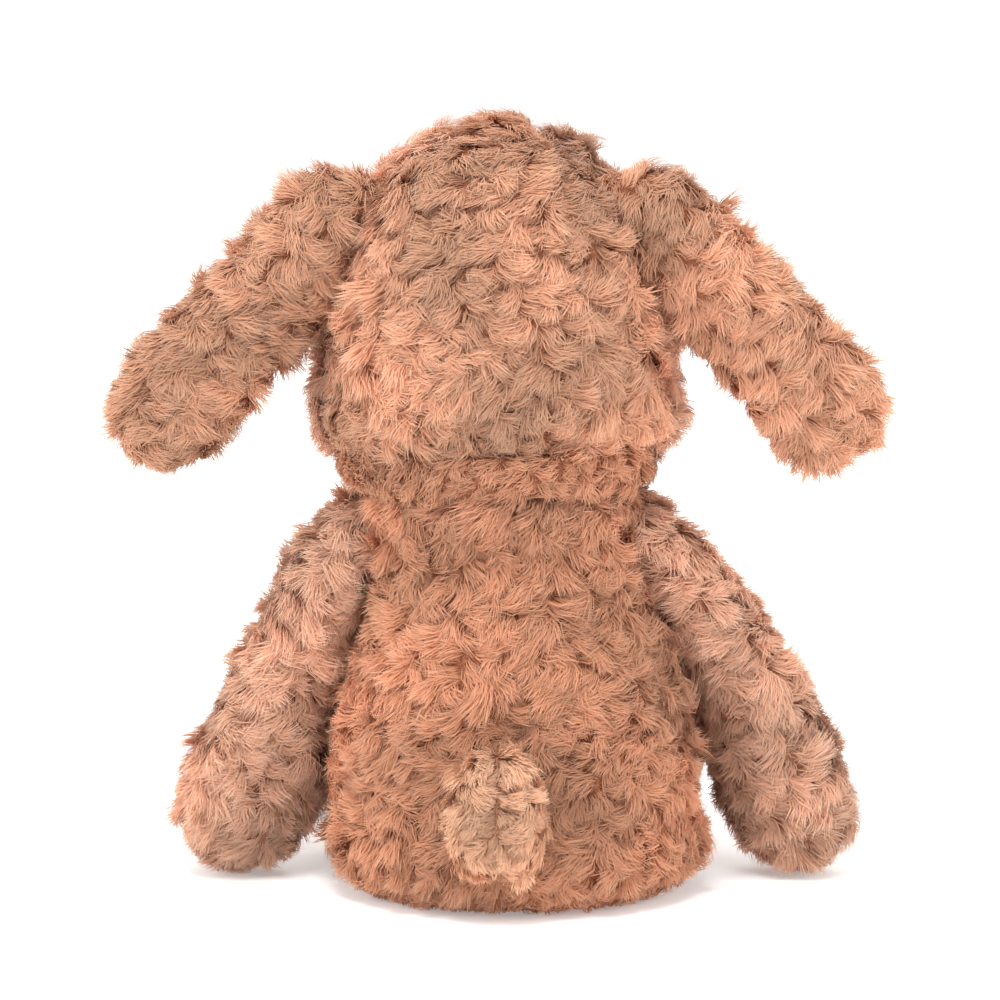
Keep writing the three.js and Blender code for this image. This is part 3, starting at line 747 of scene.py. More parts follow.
def crumpled(tree, given, spine, place_at, curl):
    """The strands' points, pressed in along wavy folds and kept above what the toy sits on."""
    stretched = vector(tree, "MULTIPLY", spine, fold_stretch)
    waves = add(
        tree, "ShaderNodeTexNoise", None, Vector=stretched,
        Scale=number(tree, "DIVIDE", 1.0, given["Fold spacing"]),
        Detail=fold_detail, Distortion=fold_distortion,
    )
    ridge = number(tree, "ABSOLUTE", centred(tree, waves.outputs["Fac"], 2.0))
    fold = number(tree, "SUBTRACT", 1.0, number(tree, "DIVIDE", ridge, fold_wall))
    fold = number(tree, "MAXIMUM", fold, 0.0)
    sunk = times(tree, fold, named(tree, "along"), given["Fold depth"])
    out = named(tree, "out", "FLOAT_VECTOR")
    place_at = vector(tree, "SUBTRACT", place_at, vector(tree, "SCALE", out, sunk))
    split = tree.nodes.new("ShaderNodeSeparateXYZ")
    plug(tree, split.inputs[0], place_at)
    above = number(tree, "MAXIMUM", split.outputs["Z"], times(tree, curl[1], ground_scatter))
    joined = add(tree, "ShaderNodeCombineXYZ", None, X=split.outputs["X"], Y=split.outputs["Y"], Z=above)
    return joined.outputs[0], fold


# %% Step 4: place on the colour map
lock_tone_span, hair_tone_span = 0.2, 0.18
fold_painted_shade = 0.3  # painted shade: how much darker a strand is in a fold
tone_low, tone_high = 0.02, 0.97
ribbon_on_map = 0.008  # how wide a strand is on the map


def map_place(tree, lock, hair, fold):
    """A strand's tone across the map, and how far along the strand a point is up it."""
    along = named(tree, "along")
    tone = number(tree, "ADD", 0.5, named(tree, "shade"))
    tone = number(tree, "ADD", tone, centred(tree, lock[2], lock_tone_span))
    tone = number(tree, "ADD", tone, centred(tree, hair[2], hair_tone_span))
    # painted shade: strands that lie in a fold are darkened
    tone = number(tree, "SUBTRACT", tone, times(tree, fold, fold_painted_shade))
    tone = number(tree, "MINIMUM", number(tree, "MAXIMUM", tone, tone_low), tone_high)
    tone = number(tree, "ADD", tone, times(tree, named(tree, "across"), ribbon_on_map))
    return add(tree, "ShaderNodeCombineXYZ", None, X=tone, Y=along).outputs[0]


# %% The whole tree
def coat_tree():
    """The tree that grows locks of fur on a form."""
    tree = bpy.data.node_groups.new("fur_coat", "GeometryNodeTree")
    asked = [
        ("Backing", "NodeSocketGeometry"), ("Strand", "NodeSocketObject"), ("Material", "NodeSocketMaterial"),
    ]
    numbers = ["Density", "Pile length", "Strand width", "Lock spacing", "Lock hold", "Lift", "Twist",
               "Fold spacing", "Fold depth"]
    asked += [(name, "NodeSocketFloat") for name in numbers]
    asked.append(("Seed", "NodeSocketInt"))
    for name, kind in asked:
        tree.interface.new_socket(name, in_out="INPUT", socket_type=kind)
    tree.interface.new_socket("Coat", in_out="OUTPUT", socket_type="NodeSocketGeometry")
    given = tree.nodes.new("NodeGroupInput").outputs
    hairs = scattered_strands(tree, given)
    lock, hair, curl = (three(tree, name) for name in ("lock_dice", "hair_dice", "curl_dice"))
    spine, place_at = bent_strand(tree, given, lock, hair, curl)
    place_at, fold = crumpled(tree, given, spine, place_at, curl)
    hairs = add(tree, "GeometryNodeSetPosition", None, Geometry=hairs, Position=place_at).outputs[0]
    hairs = store(tree, hairs, "OFBake", map_place(tree, lock, hair, fold), "FLOAT2", "CORNER")
    hairs = add(tree, "GeometryNodeSetShadeSmooth", None, Geometry=hairs, Shade_Smooth=True).outputs[0]
    hairs = add(tree, "GeometryNodeSetMaterial", None, Geometry=hairs, Material=given["Material"]).outputs[0]
    end = tree.nodes.new("NodeGroupOutput")
    tree.links.new(hairs, end.inputs["Coat"])
    return tree


coat = coat_tree()
coat_inputs = {s.name: s.identifier for s in coat.interface.items_tree if s.in_out == "INPUT"}
print("the coat's inputs:", ", ".join(coat_inputs))

# %% [markdown]
# ## Fur colours
# The pile is a warm tan: dark and reddish at its foot, painted shade for where little light gets in,
# and pale at its tips. Every strand differs a little in tone. The colour is read from where
# a strand's point lies on its own map, so the pattern can't slide when a part of the toy moves.
# %% A shader group for the pile's colour
# painted shade: a strand's colour is dark from its foot up to foot_ends
foot_ends, tip_starts = 0.36, 0.45  # along a strand
darkest, lightest = 0.74, 1.22  # strands, next to the colours given


def shader_group(name, inputs, outputs):
    """An empty shader group with named sockets: returns it, what goes in and what comes out."""
    tree = bpy.data.node_groups.new(name, "ShaderNodeTree")
    for way, sockets in (("INPUT", inputs), ("OUTPUT", outputs)):
        for socket, kind in sockets.items():
            tree.interface.new_socket(socket, in_out=way, socket_type="NodeSocket" + kind)
    return tree, tree.nodes.new("NodeGroupInput").outputs, tree.nodes.new("NodeGroupOutput").inputs


def pile_group():
    """A group that turns a place on the strands' map into a colour."""
    wanted = {"Foot": "Color", "Middle": "Color", "Tip": "Color", "Strand map": "Vector"}
    tree, given, end = shader_group("pile_colour", wanted, {"Colour": "Color"})
    split = tree.nodes.new("ShaderNodeSeparateXYZ")
    tree.links.new(given["Strand map"], split.inputs[0])
    tone, along = split.outputs["X"], split.outputs["Y"]
    above_foot = ranged(tree, along, 0.0, foot_ends, kind="SMOOTHSTEP")
    near_tip = ranged(tree, along, tip_starts, 1.0, kind="SMOOTHSTEP")
    colour = mixed(tree, above_foot, given["Foot"], given["Middle"])
    colour = mixed(tree, near_tip, colour, given["Tip"])
    light = ranged(tree, tone, 0.0, 1.0, darkest, lightest, "SMOOTHSTEP")
    grey = add(tree, "ShaderNodeCombineXYZ", None, X=light, Y=light, Z=light)
    tree.links.new(mixed(tree, 1.0, colour, grey.outputs[0], "MULTIPLY"), end["Colour"])
    return tree


pile_colour = pile_group()


# %% [markdown]
# A fibre lets a good part of the light through, which is why the fur's outline glows and its hollows
# stay warm. A translucent shader of the same colour, mixed in evenly, does that.
# %% Fur finishes
light_through = 0.42


def fur_material(name, foot, middle, tip):
    """A finish for strands."""
    material, tree, shader = new_material(name)
    strand_map = tree.nodes.new("ShaderNodeUVMap")
    strand_map.uv_map = "OFBake"
    group = tree.nodes.new("ShaderNodeGroup")
    group.node_tree = pile_colour
    for place_name, value in (("Foot", foot), ("Middle", middle), ("Tip", tip)):
        group.inputs[place_name].default_value = value
    tree.links.new(strand_map.outputs["UV"], group.inputs["Strand map"])
    tree.links.new(group.outputs["Colour"], shader.inputs["Base Color"])
    through = tree.nodes.new("ShaderNodeBsdfTranslucent")
    tree.links.new(group.outputs["Colour"], through.inputs["Color"])
    both = add(tree, "ShaderNodeMixShader", None, Fac=light_through)
    output = next(n for n in tree.nodes if n.type == "OUTPUT_MATERIAL")
    tree.links.new(shader.outputs["BSDF"], both.inputs[1])
    tree.links.new(through.outputs["BSDF"], both.inputs[2])
    tree.links.new(both.outputs["Shader"], output.inputs["Surface"])
    shader.inputs["Roughness"].default_value = 0.9
    shader.inputs["Specular IOR Level"].default_value = 0.08
    shader.inputs["Sheen Weight"].default_value = 0.05
    shader.inputs["Sheen Roughness"].default_value = 0.5
    return material


# the first colour of each finish is its foot, painted shade down in the pile
fur_tan = fur_material("fur_tan", rgb(168, 103, 70), rgb(220, 168, 137), rgb(238, 199, 170))
fur_rose = fur_material("fur_rose_tan", rgb(172, 111, 80), rgb(226, 180, 152), rgb(243, 209, 185))
# darker and redder than the tan, for the trunk and the neck: partly painted shade, as they lie below the head,
# away from the top lamp
fur_shaded_tan = fur_material("fur_deep_tan", rgb(164, 98, 64), rgb(214, 157, 124), rgb(232, 185, 154))
fur_pale = fur_material("fur_pale_tan", rgb(178, 120, 86), rgb(226, 180, 148), rgb(244, 210, 180))
plush_cream = fur_material("short_cream_plush", rgb(196, 148, 116), rgb(232, 198, 168), rgb(244, 218, 192))


# %% [markdown]
# Under the strands lies the knitted backing with the felted foot of the pile, and behind it the white
# fibre. The backing is darker than the pile: painted shade for the shade between the locks. The eyes,
# the nose and the washers are moulded, and the pouch and the mouth's thread are cotton. Cloudy colour
# with a fine grain, and weave, are two shader groups that these finishes share.
# %% Shader groups for cloudy colour and for weave
weave_share = 0.5  # of the weave in the colour; the rest is the yarn's unevenness


def mottled_group():
    """A colour that is cloudy between two tones, and a fine grain."""
    wanted = {"Place": "Vector", "Dark": "Color", "Light": "Color", "Cloud scale": "Float",
              "Cloud detail": "Float", "Cloud low": "Float", "Cloud high": "Float",
              "Grain scale": "Float", "Grain detail": "Float"}
    tree, given, end = shader_group("mottled_surface", wanted, {"Colour": "Color", "Height": "Float"})
    cloud, grain = (
        add(tree, "ShaderNodeTexNoise", None, Vector=given["Place"],
            Scale=given[word + " scale"], Detail=given[word + " detail"]).outputs["Fac"]
        for word in ("Cloud", "Grain")
    )
    share = ranged(tree, cloud, given["Cloud low"], given["Cloud high"])
    tree.links.new(mixed(tree, share, given["Dark"], given["Light"]), end["Colour"])
    tree.links.new(grain, end["Height"])
    return tree


def weave_group():
    """Fine ribs both ways, with a touch of unevenness in the yarn."""
    wanted = {"Place": "Vector", "Dark": "Color", "Light": "Color", "Rib scale": "Float",
              "Yarn scale": "Float", "Yarn detail": "Float"}
    tree, given, end = shader_group("plain_weave", wanted, {"Colour": "Color", "Height": "Float"})
    ribs = [
        add(tree, "ShaderNodeTexWave", {"bands_direction": way},
            Vector=given["Place"], Scale=given["Rib scale"])
        for way in ("X", "Y")
    ]
    weave = times(tree, *(rib.outputs["Fac"] for rib in ribs))
    yarn = add(
        tree, "ShaderNodeTexNoise", None, Vector=given["Place"],
        Scale=given["Yarn scale"], Detail=given["Yarn detail"],
    )
    share = ranged(tree, number(tree, "ADD", times(tree, weave, weave_share), yarn.outputs["Fac"]), 0.0, 1.0)
    tree.links.new(mixed(tree, share, given["Dark"], given["Light"]), end["Colour"])
    tree.links.new(weave, end["Height"])
    return tree


mottled = mottled_group()
weave = weave_group()
print("shader groups:", ", ".join(group.name for group in (pile_colour, mottled, weave)))


# %% Undercoat, fibre, moulded and woven finishes
def darker(colour, share):
    """A colour at a share of its strength."""
    return [share * c for c in colour[:3]] + [1]


def grouped_material(name, group, values, relief, depth, roughness):
    """A finish whose colour and fine relief come from a group."""
    material, tree, shader = new_material(name)
    node = tree.nodes.new("ShaderNodeGroup")
    node.node_tree = group
    tree.links.new(tree.nodes.new("ShaderNodeTexCoord").outputs["Object"], node.inputs["Place"])
    for key, value in values.items():
        node.inputs[key].default_value = value
    tree.links.new(node.outputs["Colour"], shader.inputs["Base Color"])
    bump = add(tree, "ShaderNodeBump", None, Strength=relief, Distance=depth, Height=node.outputs["Height"])
    tree.links.new(bump.outputs["Normal"], shader.inputs["Normal"])
    shader.inputs["Roughness"].default_value = roughness
    return material, shader


def undercoat_material(name, deep, bright):
    """Felted fibre, seen only between the locks."""
    values = {"Dark": deep, "Light": bright, "Cloud scale": 90.0, "Cloud detail": 4.0, "Cloud low": 0.35,
              "Cloud high": 0.68, "Grain scale": 1400.0, "Grain detail": 3.0}
    material, shader = grouped_material(name, mottled, values, 0.6, 0.6 * MM, 0.95)
    shader.inputs["Sheen Weight"].default_value = 0.1
    return material


def moulded_material(name, colour, roughness, coat_weight, grain):
    """Moulded plastic with a fine surface grain and a slight cloud of colour."""
    values = {"Dark": darker(colour, 0.8), "Light": colour, "Cloud scale": 260.0, "Cloud detail": 3.0,
              "Cloud low": 0.0, "Cloud high": 1.0, "Grain scale": 1800.0, "Grain detail": 2.0}
    material, shader = grouped_material(name, mottled, values, grain, 0.2 * MM, roughness)
    shader.inputs["Coat Weight"].default_value = coat_weight
    shader.inputs["Coat Roughness"].default_value = 0.08
    return material


def woven_material(name, colour, pitch):
    """Plain woven cotton, with its threads a pitch apart."""
    values = {"Dark": darker(colour, 0.72), "Light": colour, "Rib scale": 0.3 / pitch,
              "Yarn scale": 220.0, "Yarn detail": 4.0}
    return grouped_material(name, weave, values, 0.5, 0.3 * MM, 0.9)[0]


# painted shade: the backings' dark tans stand for the shade between the locks
undercoat_painted_shade = undercoat_material("fur_undercoat", rgb(128, 74, 50), rgb(176, 116, 88))
pale_undercoat_painted_shade = undercoat_material("fur_undercoat_pale", rgb(150, 100, 72), rgb(200, 150, 118))
fibre = undercoat_material("white_fibre_stuffing", rgb(222, 218, 208), rgb(246, 244, 238))
eye_plastic = moulded_material("dark_eye_plastic", rgb(34, 22, 16), 0.22, 0.9, 0.03)
nose_plastic = moulded_material("brown_nose_plastic", rgb(70, 40, 30), 0.42, 0.25, 0.35)
washer_plastic = moulded_material("white_washer_plastic", rgb(226, 222, 212), 0.5, 0.0, 0.2)
pouch_cotton = woven_material("pouch_cotton", rgb(224, 214, 196), 0.9 * MM)
embroidery = woven_material("brown_embroidery_thread", rgb(78, 44, 34), 0.35 * MM)


# %% [markdown]
# ## Growing the coat panel by panel
# Each sewn panel gets a coat of its own, as on the real toy, where the fur parts at the seams. A
# form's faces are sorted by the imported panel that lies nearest, and the tree grows the fur on each
# group. The result is made a plain mesh.
# %% Sort a form's faces by panel
def panel_faces(piece, panels):
    """For each panel, the indices of the form's faces that lie nearest to it."""
    trees = []
    for panel in panels:
        mesh = frame["nodes"][panel].data
        mesh.calc_loop_triangles()
        corners = [tuple(t.vertices) for t in mesh.loop_triangles]
        trees.append(BVHTree.FromPolygons([v.co for v in mesh.vertices], corners))
    sorted_faces = [[] for _ in panels]
    for polygon in piece.data.polygons:
        centre = polygon.center
        gaps = [tree.find_nearest(centre)[3] for tree in trees]
        sorted_faces[gaps.index(min(gaps))].append(polygon.index)
    return dict(zip(panels, sorted_faces))


def patch_of(piece, faces, name):
    """Some of a form's faces as an object of their own, with the stored attributes."""
    patch = link_object(name, piece.data.copy())
    bm = bmesh.new()
    bm.from_mesh(patch.data)
    bm.faces.ensure_lookup_table()
    keep = set(faces)
    bmesh.ops.delete(bm, geom=[f for f in bm.faces if f.index not in keep], context="FACES")
    bm.to_mesh(patch.data)
    bm.free()
    return patch


# %% [markdown]
# Light goes through fine pile and comes out evenly, which a ribbon's own facets can't show. So each
# strand is shaded mostly as the form under it is: its normals are blended with the backing's.
# %% Grow a coat on a patch
strand_count = 0
form_share = 0.82  # of the backing's normal in a strand's
groomed = ("comb", "pile", "shade")
spent = {"root", "out", "lock_at", "lock_comb", "lock_dice", "hair_dice", "curl_dice", "along", "across",
         *groomed}


def forget(mesh, names):
    """Removes stored attributes that have done their work."""
    for name in [a.name for a in mesh.attributes if a.name in names]:
        mesh.attributes.remove(mesh.attributes[name])


def soften_shading(mesh):
    """Blends the strands' normals with those of the form they grow on."""
    stored = np.zeros(len(mesh.vertices) * 3)
    mesh.attributes["out"].data.foreach_get("vector", stored)
    form = stored.reshape(-1, 3)
    own = normals(mesh)
    blended = form_share * form + (1 - form_share) * own
    blended /= np.linalg.norm(blended, axis=1, keepdims=True)
    mesh.normals_split_custom_set_from_vertices(blended.tolist())


def grow(patch, name, material, seed, density, length, width, spacing, hold, lift, twist, folds):
    """Fur on a patch, as a plain mesh. Lengths are in millimetres, density in strands per mm2."""
    modifier = patch.modifiers.new("coat", "NODES")
    modifier.node_group = coat
    values = {
        "Strand": strand, "Material": material, "Seed": seed, "Density": density / MM**2,
        "Pile length": length * MM, "Strand width": width * MM, "Lock spacing": spacing * MM,
        "Lock hold": hold, "Lift": lift, "Twist": math.radians(twist),
        "Fold spacing": folds[0] * MM, "Fold depth": folds[1] * MM,
    }
    for key, value in values.items():
        modifier[coat_inputs[key]] = value
    patch.data.update()
    view = bpy.context.evaluated_depsgraph_get()
    mesh = bpy.data.meshes.new_from_object(patch.evaluated_get(view))
    mesh.name = name
    soften_shading(mesh)
    forget(mesh, spent)
    bpy.data.objects.remove(patch)
    return link_object(name, mesh)


coats = {
    "fur": dict(density=3.0, length=9.6, width=0.4, spacing=4.0, hold=0.26, lift=0.36, twist=80,
                folds=(8, 3.0)),
    "tail": dict(density=5.5, length=6.2, width=0.4, spacing=3.2, hold=0.15, lift=0.5, twist=60,
                 folds=(7, 1.2)),
    "short": dict(density=3.4, length=4.6, width=0.36, spacing=5, hold=0.3, lift=0.6, twist=30,
                  folds=(9, 0.4)),
}


def take_place(piece, body, node, material):
    """Finishes a piece that takes the place of a packed one and rides on the same body."""
    piece.data.materials.clear()
    piece.data.materials.append(material)
    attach(piece, body)
    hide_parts(node)


def dress(form, body, panels, material, kind, under, stuffing, seed, changes=None):
    """Grows the coat on a form, panel by panel, and lets it all ride on its body."""
    global strand_count
    for index, (panel, faces) in enumerate(panel_faces(form, panels).items()):
        if not faces:
            raise RuntimeError(f"no face of {form.name} lies by {panel}")
        choice = {**coats[kind], **(changes or {}).get(panel, {})}
        finish = choice.pop("material", material)
        name = panel.replace("_skin", "_fur").replace("foot_sole", "foot_sole_fur")
        fur = grow(patch_of(form, faces, name + "_patch"), name, finish, seed + 10 * index, **choice)
        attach(fur, body)
        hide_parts(panel)
        strands = len(fur.data.polygons) // 2
        strand_count += strands
        print(f"{name}: {strands} strands on {len(faces)} faces")
    forget(form.data, groomed)
    take_place(form, body, stuffing, under)


# %% [markdown]
# ## Head
# The head is a tall egg, flattened front to back. Its back panel swirls outwards and down, and its
# sides are a touch rosier. Towards the face the pile is trimmed, so that the eyes stay clear.
# %% Head
fur_depth = 0.6 * MM
eye_low, eye_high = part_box("eye_left")
eye_spot = Vector(((eye_low.x + eye_high.x) / 2, eye_low.y, (eye_low.z + eye_high.z) / 2))
muzzle_low, muzzle_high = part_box("muzzle_skin")


def trimmed_face(point):
    """Shorter fur round the eyes and the muzzle."""
    eye = Vector((abs(point.x), point.y, point.z)) - eye_spot
    near_eye = math.exp(-((eye.length / (15 * MM)) ** 2))
    muzzle = Vector((point.x, 0, point.z - (muzzle_low.z + muzzle_high.z) / 2))
    near_muzzle = math.exp(-((muzzle.length / (32 * MM)) ** 4)) if point.y < axis_y else 0
    return 1 - 0.62 * max(near_eye, 0.6 * near_muzzle)


def paler_sides(point):
    """The pile is a little lighter towards the sides of the head."""
    return 0.26 * min(max((abs(point.x) - 28 * MM) / (26 * MM), 0), 1) - 0.1


def head_comb(point):
    """Brushed back over the crown, then down and out."""
    away = Vector((point.x, (point.y - axis_y) * 0.6, 0))
    down = away.normalized() * 0.75 + Vector((0, 0, -0.8))
    crown = min(max((point.z - crown_z) / (22 * MM), 0), 1)
    return down.lerp(Vector((0.4 * away.normalized().x, 1, 0)), crown)


crown_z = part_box("head_stuffing")[1].z - 34 * MM
head_panels = ["head_back_skin", "head_side_skin_left", "head_side_skin_right", "crown_skin", "chin_skin"]
head_form = stuffed_form("head_form", head_panels + ["head_stuffing"], fur_depth)
cheek_out, cheek_up = mm(58, 172)
for side in (1, -1):
    nudge(head_form, (side * cheek_out, axis_y, cheek_up), mm(34, 60, 34), mm(5 * side, 0, -2))
groom(head_form, head_comb, head_seams, 1.7, trimmed_face, 1.0, paler_sides)
dress(head_form, "head", head_panels, fur_tan, "fur", undercoat_painted_shade, "head_stuffing", 100,
      changes={"head_side_skin_left": {"material": fur_rose, "density": 2.6},
               "head_side_skin_right": {"material": fur_rose, "density": 2.6}, "crown_skin": {"lift": 0.28}})

# %% [markdown]
# ## Trunk
# The trunk is a pear with its widest line low down. It sits on its own weight, so the fur under the
# seat is pressed short.
# %% Trunk
trunk_axis = Vector((trunk_x, axis_y, 0))


def pressed_seat(point):
    """The fur that the toy sits on is pressed flat."""
    return 0.35 + 0.65 * min(max((point.z - 2 * MM) / (14 * MM), 0), 1)


seat_spread = 8 * MM
seat_spread_height = 30 * MM
seat_core = 30 * MM  # the middle of the seat, which doesn't spread


def spread_seat(piece):
    """The stuffing settles, so the rim of the seat spreads over what the toy sits on."""
    points = positions(piece.data)
    away = points - np.array(trunk_axis)
    away[:, 2] = 0
    reach = np.linalg.norm(away, axis=1, keepdims=True)
    low = np.clip(1 - points[:, 2:3] / seat_spread_height, 0, 1)
    spread = seat_spread * np.sqrt(low) * (reach > seat_core)
    place(piece.data, points + away / np.maximum(reach, 1e-6) * spread)


shoulder_line = 126 * MM
shoulder_rise = 28 * MM
shoulder_swell = 15 * MM
shoulder_lift = 6 * MM


def round_shoulders(piece):
    """The trunk's stuffing pushes its top up and out, until it meets the head all round."""
    points = positions(piece.data)
    away = points - np.array((0, axis_y, 0))
    away[:, 2] = 0
    reach = np.linalg.norm(away, axis=1, keepdims=True)
    high = np.clip((points[:, 2:3] - shoulder_line) / shoulder_rise, 0, 1)
    high = high * high * (3 - 2 * high)
    out = away / np.maximum(reach, 1e-6) * np.clip(reach / (30 * MM), 0, 1)
    place(piece.data, points + high * (out * shoulder_swell + np.array((0, 0, shoulder_lift))))


trunk_panels = ["back_skin_left", "back_skin_right", "belly_skin", "seat_skin"]
trunk_form = stuffed_form("trunk_form", trunk_panels + ["body_stuffing", "bean_pouch"], fur_depth)
spread_seat(trunk_form)
round_shoulders(trunk_form)
groom(trunk_form, down_and_out(trunk_axis, 0.35), trunk_seams, 5.3, pressed_seat, 1.15)
dress(trunk_form, "torso", trunk_panels, fur_shaded_tan, "fur", undercoat_painted_shade, "body_stuffing", 200,
      changes={"belly_skin": {"density": 1.7}, "seat_skin": {"density": 0.9}})

# %% [markdown]
# ## Neck seam
# The head is sewn to the trunk along a ring. A furry band closes the crease between them: its low
# edge follows the neck and its high edge the head, so that it bends when the dog nods.
# %% Neck band
band_radius = 56.0 * MM
band_wall = 6.0 * MM
band_low, band_high = neck_z - 10 * MM, neck_z + 6 * MM
head_flatness = 0.9


def ring_form(name, radius, wall, low, high, steps=72, corners=14):
    """A closed band: an upright oval section carried round the neck."""
    centre = (low + high) / 2
    vertices, faces = [], []
    for step in range(steps):
        turn = 2 * math.pi * step / steps
        for corner in range(corners):
            around = 2 * math.pi * corner / corners
            r = radius + wall / 2 * math.cos(around)
            z = centre + (high - low) / 2 * math.sin(around)
            x, y = r * math.sin(turn), r * math.cos(turn) * head_flatness
            vertices.append((x, axis_y + y, z))
    for step in range(steps):
        for corner in range(corners):
            a = step * corners + corner
            b = step * corners + (corner + 1) % corners
            c = (b + corners) % (steps * corners)
            d = (a + corners) % (steps * corners)
            faces.append((a, b, c, d))
    return mesh_from(name, vertices, faces)


neck_band = ring_form("neck_band", band_radius, band_wall, band_low, band_high)
neck_band.data.shade_smooth()
groom(neck_band, down_and_out(Vector((0, axis_y, 0)), 0.8), no_seams, 41.0, None, 1.0)
outer_faces = [
    f.index for f in neck_band.data.polygons
    if f.normal.dot(Vector((f.center.x, f.center.y - axis_y, 0)).normalized()) > 0.2
]
neck_fur = grow(patch_of(neck_band, outer_faces, "neck_fur_patch"), "neck_fur", fur_shaded_tan, 960,
                **{**coats["fur"], "length": 6.0, "density": 2.2})
neck_band.data.materials.append(undercoat_painted_shade)
forget(neck_band.data, groomed)
for piece in (neck_band, neck_fur):
    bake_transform(piece, "neck", "head", start=(0, axis_y, neck_z - 4 * MM), end=(0, axis_y, neck_z + 6 * MM))

# %% [markdown]
# ## Ears, arms and legs
# Ears are flat paddles with thin wadding, sewn into the seam of the head; arms and legs are tapered
# tubes. The fur runs along all of them. Where a limb is sewn on, its root follows the body: each of
# the little moves here is given by how far it reaches and how far it moves the cloth, in millimetres.
# %% Limbs
ear_root_x = {"left": 67 * MM, "right": -59 * MM}
ear_root_z = 270 * MM
palm_out, palm_up = mm(75, 28)
arm_lean = 20 * MM  # the axis that the arm's fur leans away from lies this far inside its middle

for word, side in (("left", 1), ("right", -1)):
    ear_panels = [f"ear_back_skin_{word}", f"ear_front_skin_{word}"]
    ear = stuffed_form(f"ear_form_{word}", ear_panels + [f"ear_wadding_{word}"], 1.8 * MM, 4 * MM)
    tuck(ear, head_form, 24 * MM, 1.3)
    nudge(ear, (ear_root_x[word], ear_y, ear_root_z), mm(36, 60, 36), mm(-4 * side, 0, 9))
    groom(ear, along_ear(side), ear_seams, 9.1 + side, None, 0.8)
    dress(ear, f"ear_{word}", ear_panels, fur_tan, "fur", undercoat_painted_shade, f"ear_wadding_{word}",
          300 + 40 * side, {f"ear_front_skin_{word}": {"density": 2.6}})

    arm_panels = [f"arm_outer_skin_{word}", f"arm_inner_skin_{word}"]
    arm = stuffed_form(f"arm_form_{word}", arm_panels + [f"arm_stuffing_{word}"], fur_depth)
    low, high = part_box(f"arm_stuffing_{word}")
    shoulder = pivots[f"arm_{word}"] + Vector((side * 12, 0, 16)) * MM
    nudge(arm, shoulder, mm(40, 60, 30), mm(-9 * side, 0, -3))
    palm = (side * palm_out, (low.y + high.y) / 2, palm_up)
    nudge(arm, palm, mm(24, 50, 44), mm(-7 * side, 0, 0))
    arm_axis = Vector(((low.x + high.x) / 2 - side * arm_lean, (low.y + high.y) / 2, 0))
    groom(arm, down_and_out(arm_axis, 0.45), no_seams, 14.3 + side, None, 0.9)
    dress(arm, f"arm_{word}", arm_panels, fur_rose, "fur", undercoat_painted_shade, f"arm_stuffing_{word}", 500 + 40 * side,
          changes={f"arm_inner_skin_{word}": {"density": 2.6}})

    leg_panels = [f"leg_top_skin_{word}", f"leg_under_skin_{word}", f"foot_sole_{word}"]
    leg = stuffed_form(f"leg_form_{word}", leg_panels + [f"leg_stuffing_{word}"], fur_depth)
    low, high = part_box(f"foot_sole_{word}")
    toe = Vector(((low.x + high.x) / 2, low.y, (low.z + high.z) / 2))
    hip = pivots[f"leg_{word}"]
    groom(leg, lambda point, hip=hip, toe=toe: (toe - hip).normalized() + Vector((0, 0, -0.3)), no_seams,
          18.7 + side, pressed_seat, 0.8)
    short_sole = {**coats["short"], "material": plush_cream}
    dress(leg, f"leg_{word}", leg_panels, fur_tan, "fur", undercoat_painted_shade, f"leg_stuffing_{word}", 700 + 40 * side,
          changes={f"foot_sole_{word}": short_sole, f"leg_under_skin_{word}": {"density": 2.0}})

# %% [markdown]
# ## Tail
# The tail is an egg-shaped pompom, a little paler, whose fur bursts from its middle.
# %% Tail
tail_low, tail_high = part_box("tail_skin_left")
tail_centre = Vector((0, tail_low.y + 4 * MM, (tail_low.z + tail_high.z) / 2))
tail_panels = ["tail_skin_left", "tail_skin_right"]
tail_form = stuffed_form("tail_form", tail_panels + ["tail_stuffing"], 2.6 * MM, 3 * MM)
tail_top = tail_centre + Vector((0, 0, 22)) * MM
nudge(tail_form, tail_top, mm(60, 60, 60), mm(0, 0, 9))
groom(tail_form, away_from(tail_centre, 0.8), tail_seams, 23.9, None, 0.7)
dress(tail_form, "tail", tail_panels, fur_pale, "tail", pale_undercoat_painted_shade, "tail_stuffing", 900)

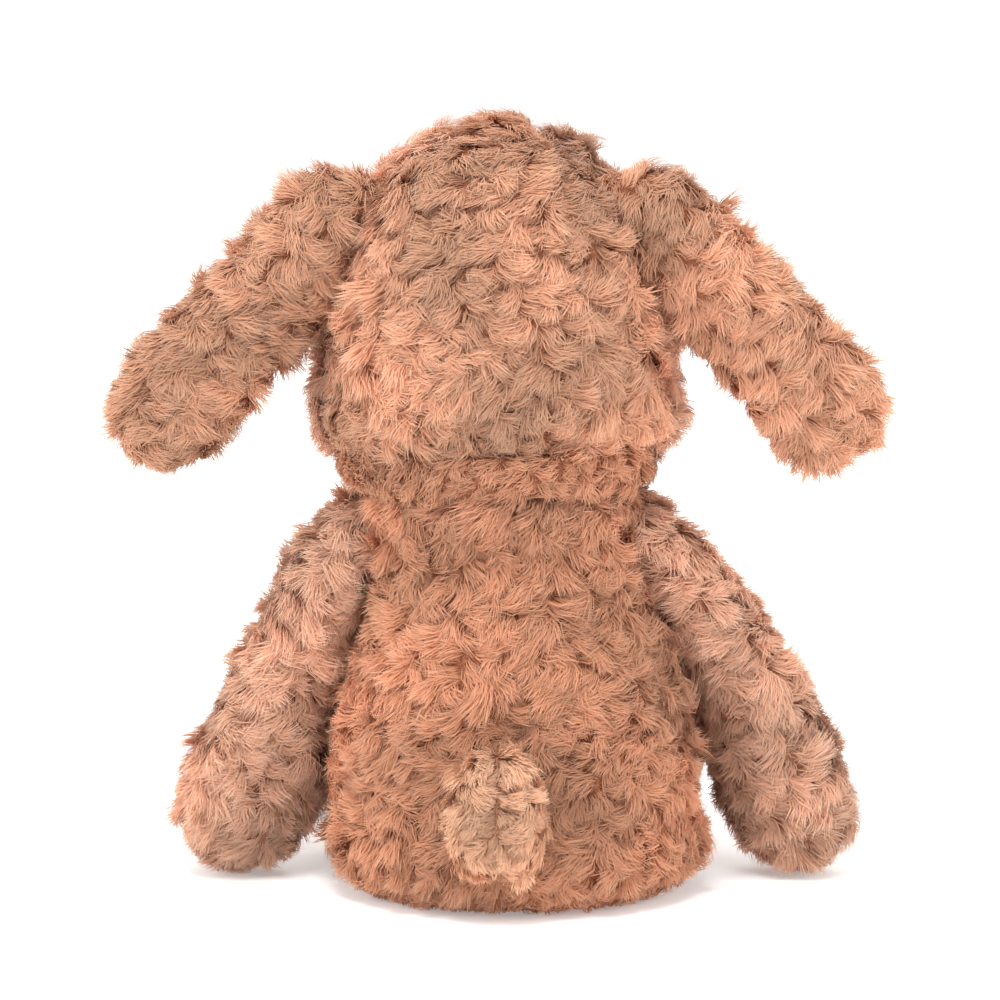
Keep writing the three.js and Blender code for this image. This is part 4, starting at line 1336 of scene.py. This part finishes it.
# %% [markdown]
# ## Muzzle and face
# A separate little dome of short plush carries the nose and a stitched mouth. The eyes are domed
# buttons on shanks, held by washers behind the skin.
# %% Muzzle
muzzle_form = stuffed_form("muzzle_form", ["muzzle_skin", "muzzle_stuffing"], 1.8 * MM, 2.5 * MM)
muzzle_middle = Vector((0, muzzle_high.y, (muzzle_low.z + muzzle_high.z) / 2))
groom(muzzle_form, away_from(muzzle_middle, 0.4), no_seams, 31.0, None, 0.5)
dress(muzzle_form, "head", ["muzzle_skin"], plush_cream, "short", pale_undercoat_painted_shade, "muzzle_stuffing", 950,
      changes={"muzzle_skin": {"density": 2.4}})

# %% Small hard pieces
def polished(node, material):
    """A smooth copy of a small hard piece of the head, with its edges just broken."""
    piece = joined_copy(node + "_smooth", [node])
    edge = piece.modifiers.new("broken_edge", "BEVEL")
    edge.width = 0.25 * MM
    edge.segments = 2
    edge.limit_method = "ANGLE"
    edge.angle_limit = math.radians(48)
    apply_modifiers(piece)
    piece.data.shade_smooth()
    piece.data.set_sharp_from_angle(angle=math.radians(52))
    take_place(piece, "head", node, material)


polished("eye_left", eye_plastic)
polished("eye_right", eye_plastic)
polished("nose", nose_plastic)
polished("mouth_thread", embroidery)
for node in ("nose_washer", "eye_washer_left", "eye_washer_right"):
    for slot in frame["nodes"][node].material_slots:
        slot.material = washer_plastic

# %% [markdown]
# ## Inside
# A pouch of beans keeps the dog sitting, and a roll of fibre holds up its neck. They don't show, but
# they are stuffed forms with finishes of their own, so that the toy is whole when it is opened.
# %% Soft pieces inside
soft_inside = [("bean_pouch", "torso", pouch_cotton, 0.7), ("neck_roll", "neck", fibre, 0.8)]
for node, body, material, fill in soft_inside:
    piece = stuffed_form(node + "_form", [node], 1.2 * MM, 3 * MM)
    take_place(piece, body, node, material)

print("strands in all:", strand_count)

# %% [markdown]
# ## Sizes
# The finished toy is measured next to the imported one.
# %% Measure and finish
new_low, new_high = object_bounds()
proud = (*(cad_low - new_low), *(new_high - cad_high))
print("proud of the packed box, mm:", [round(v / MM, 1) for v in proud])
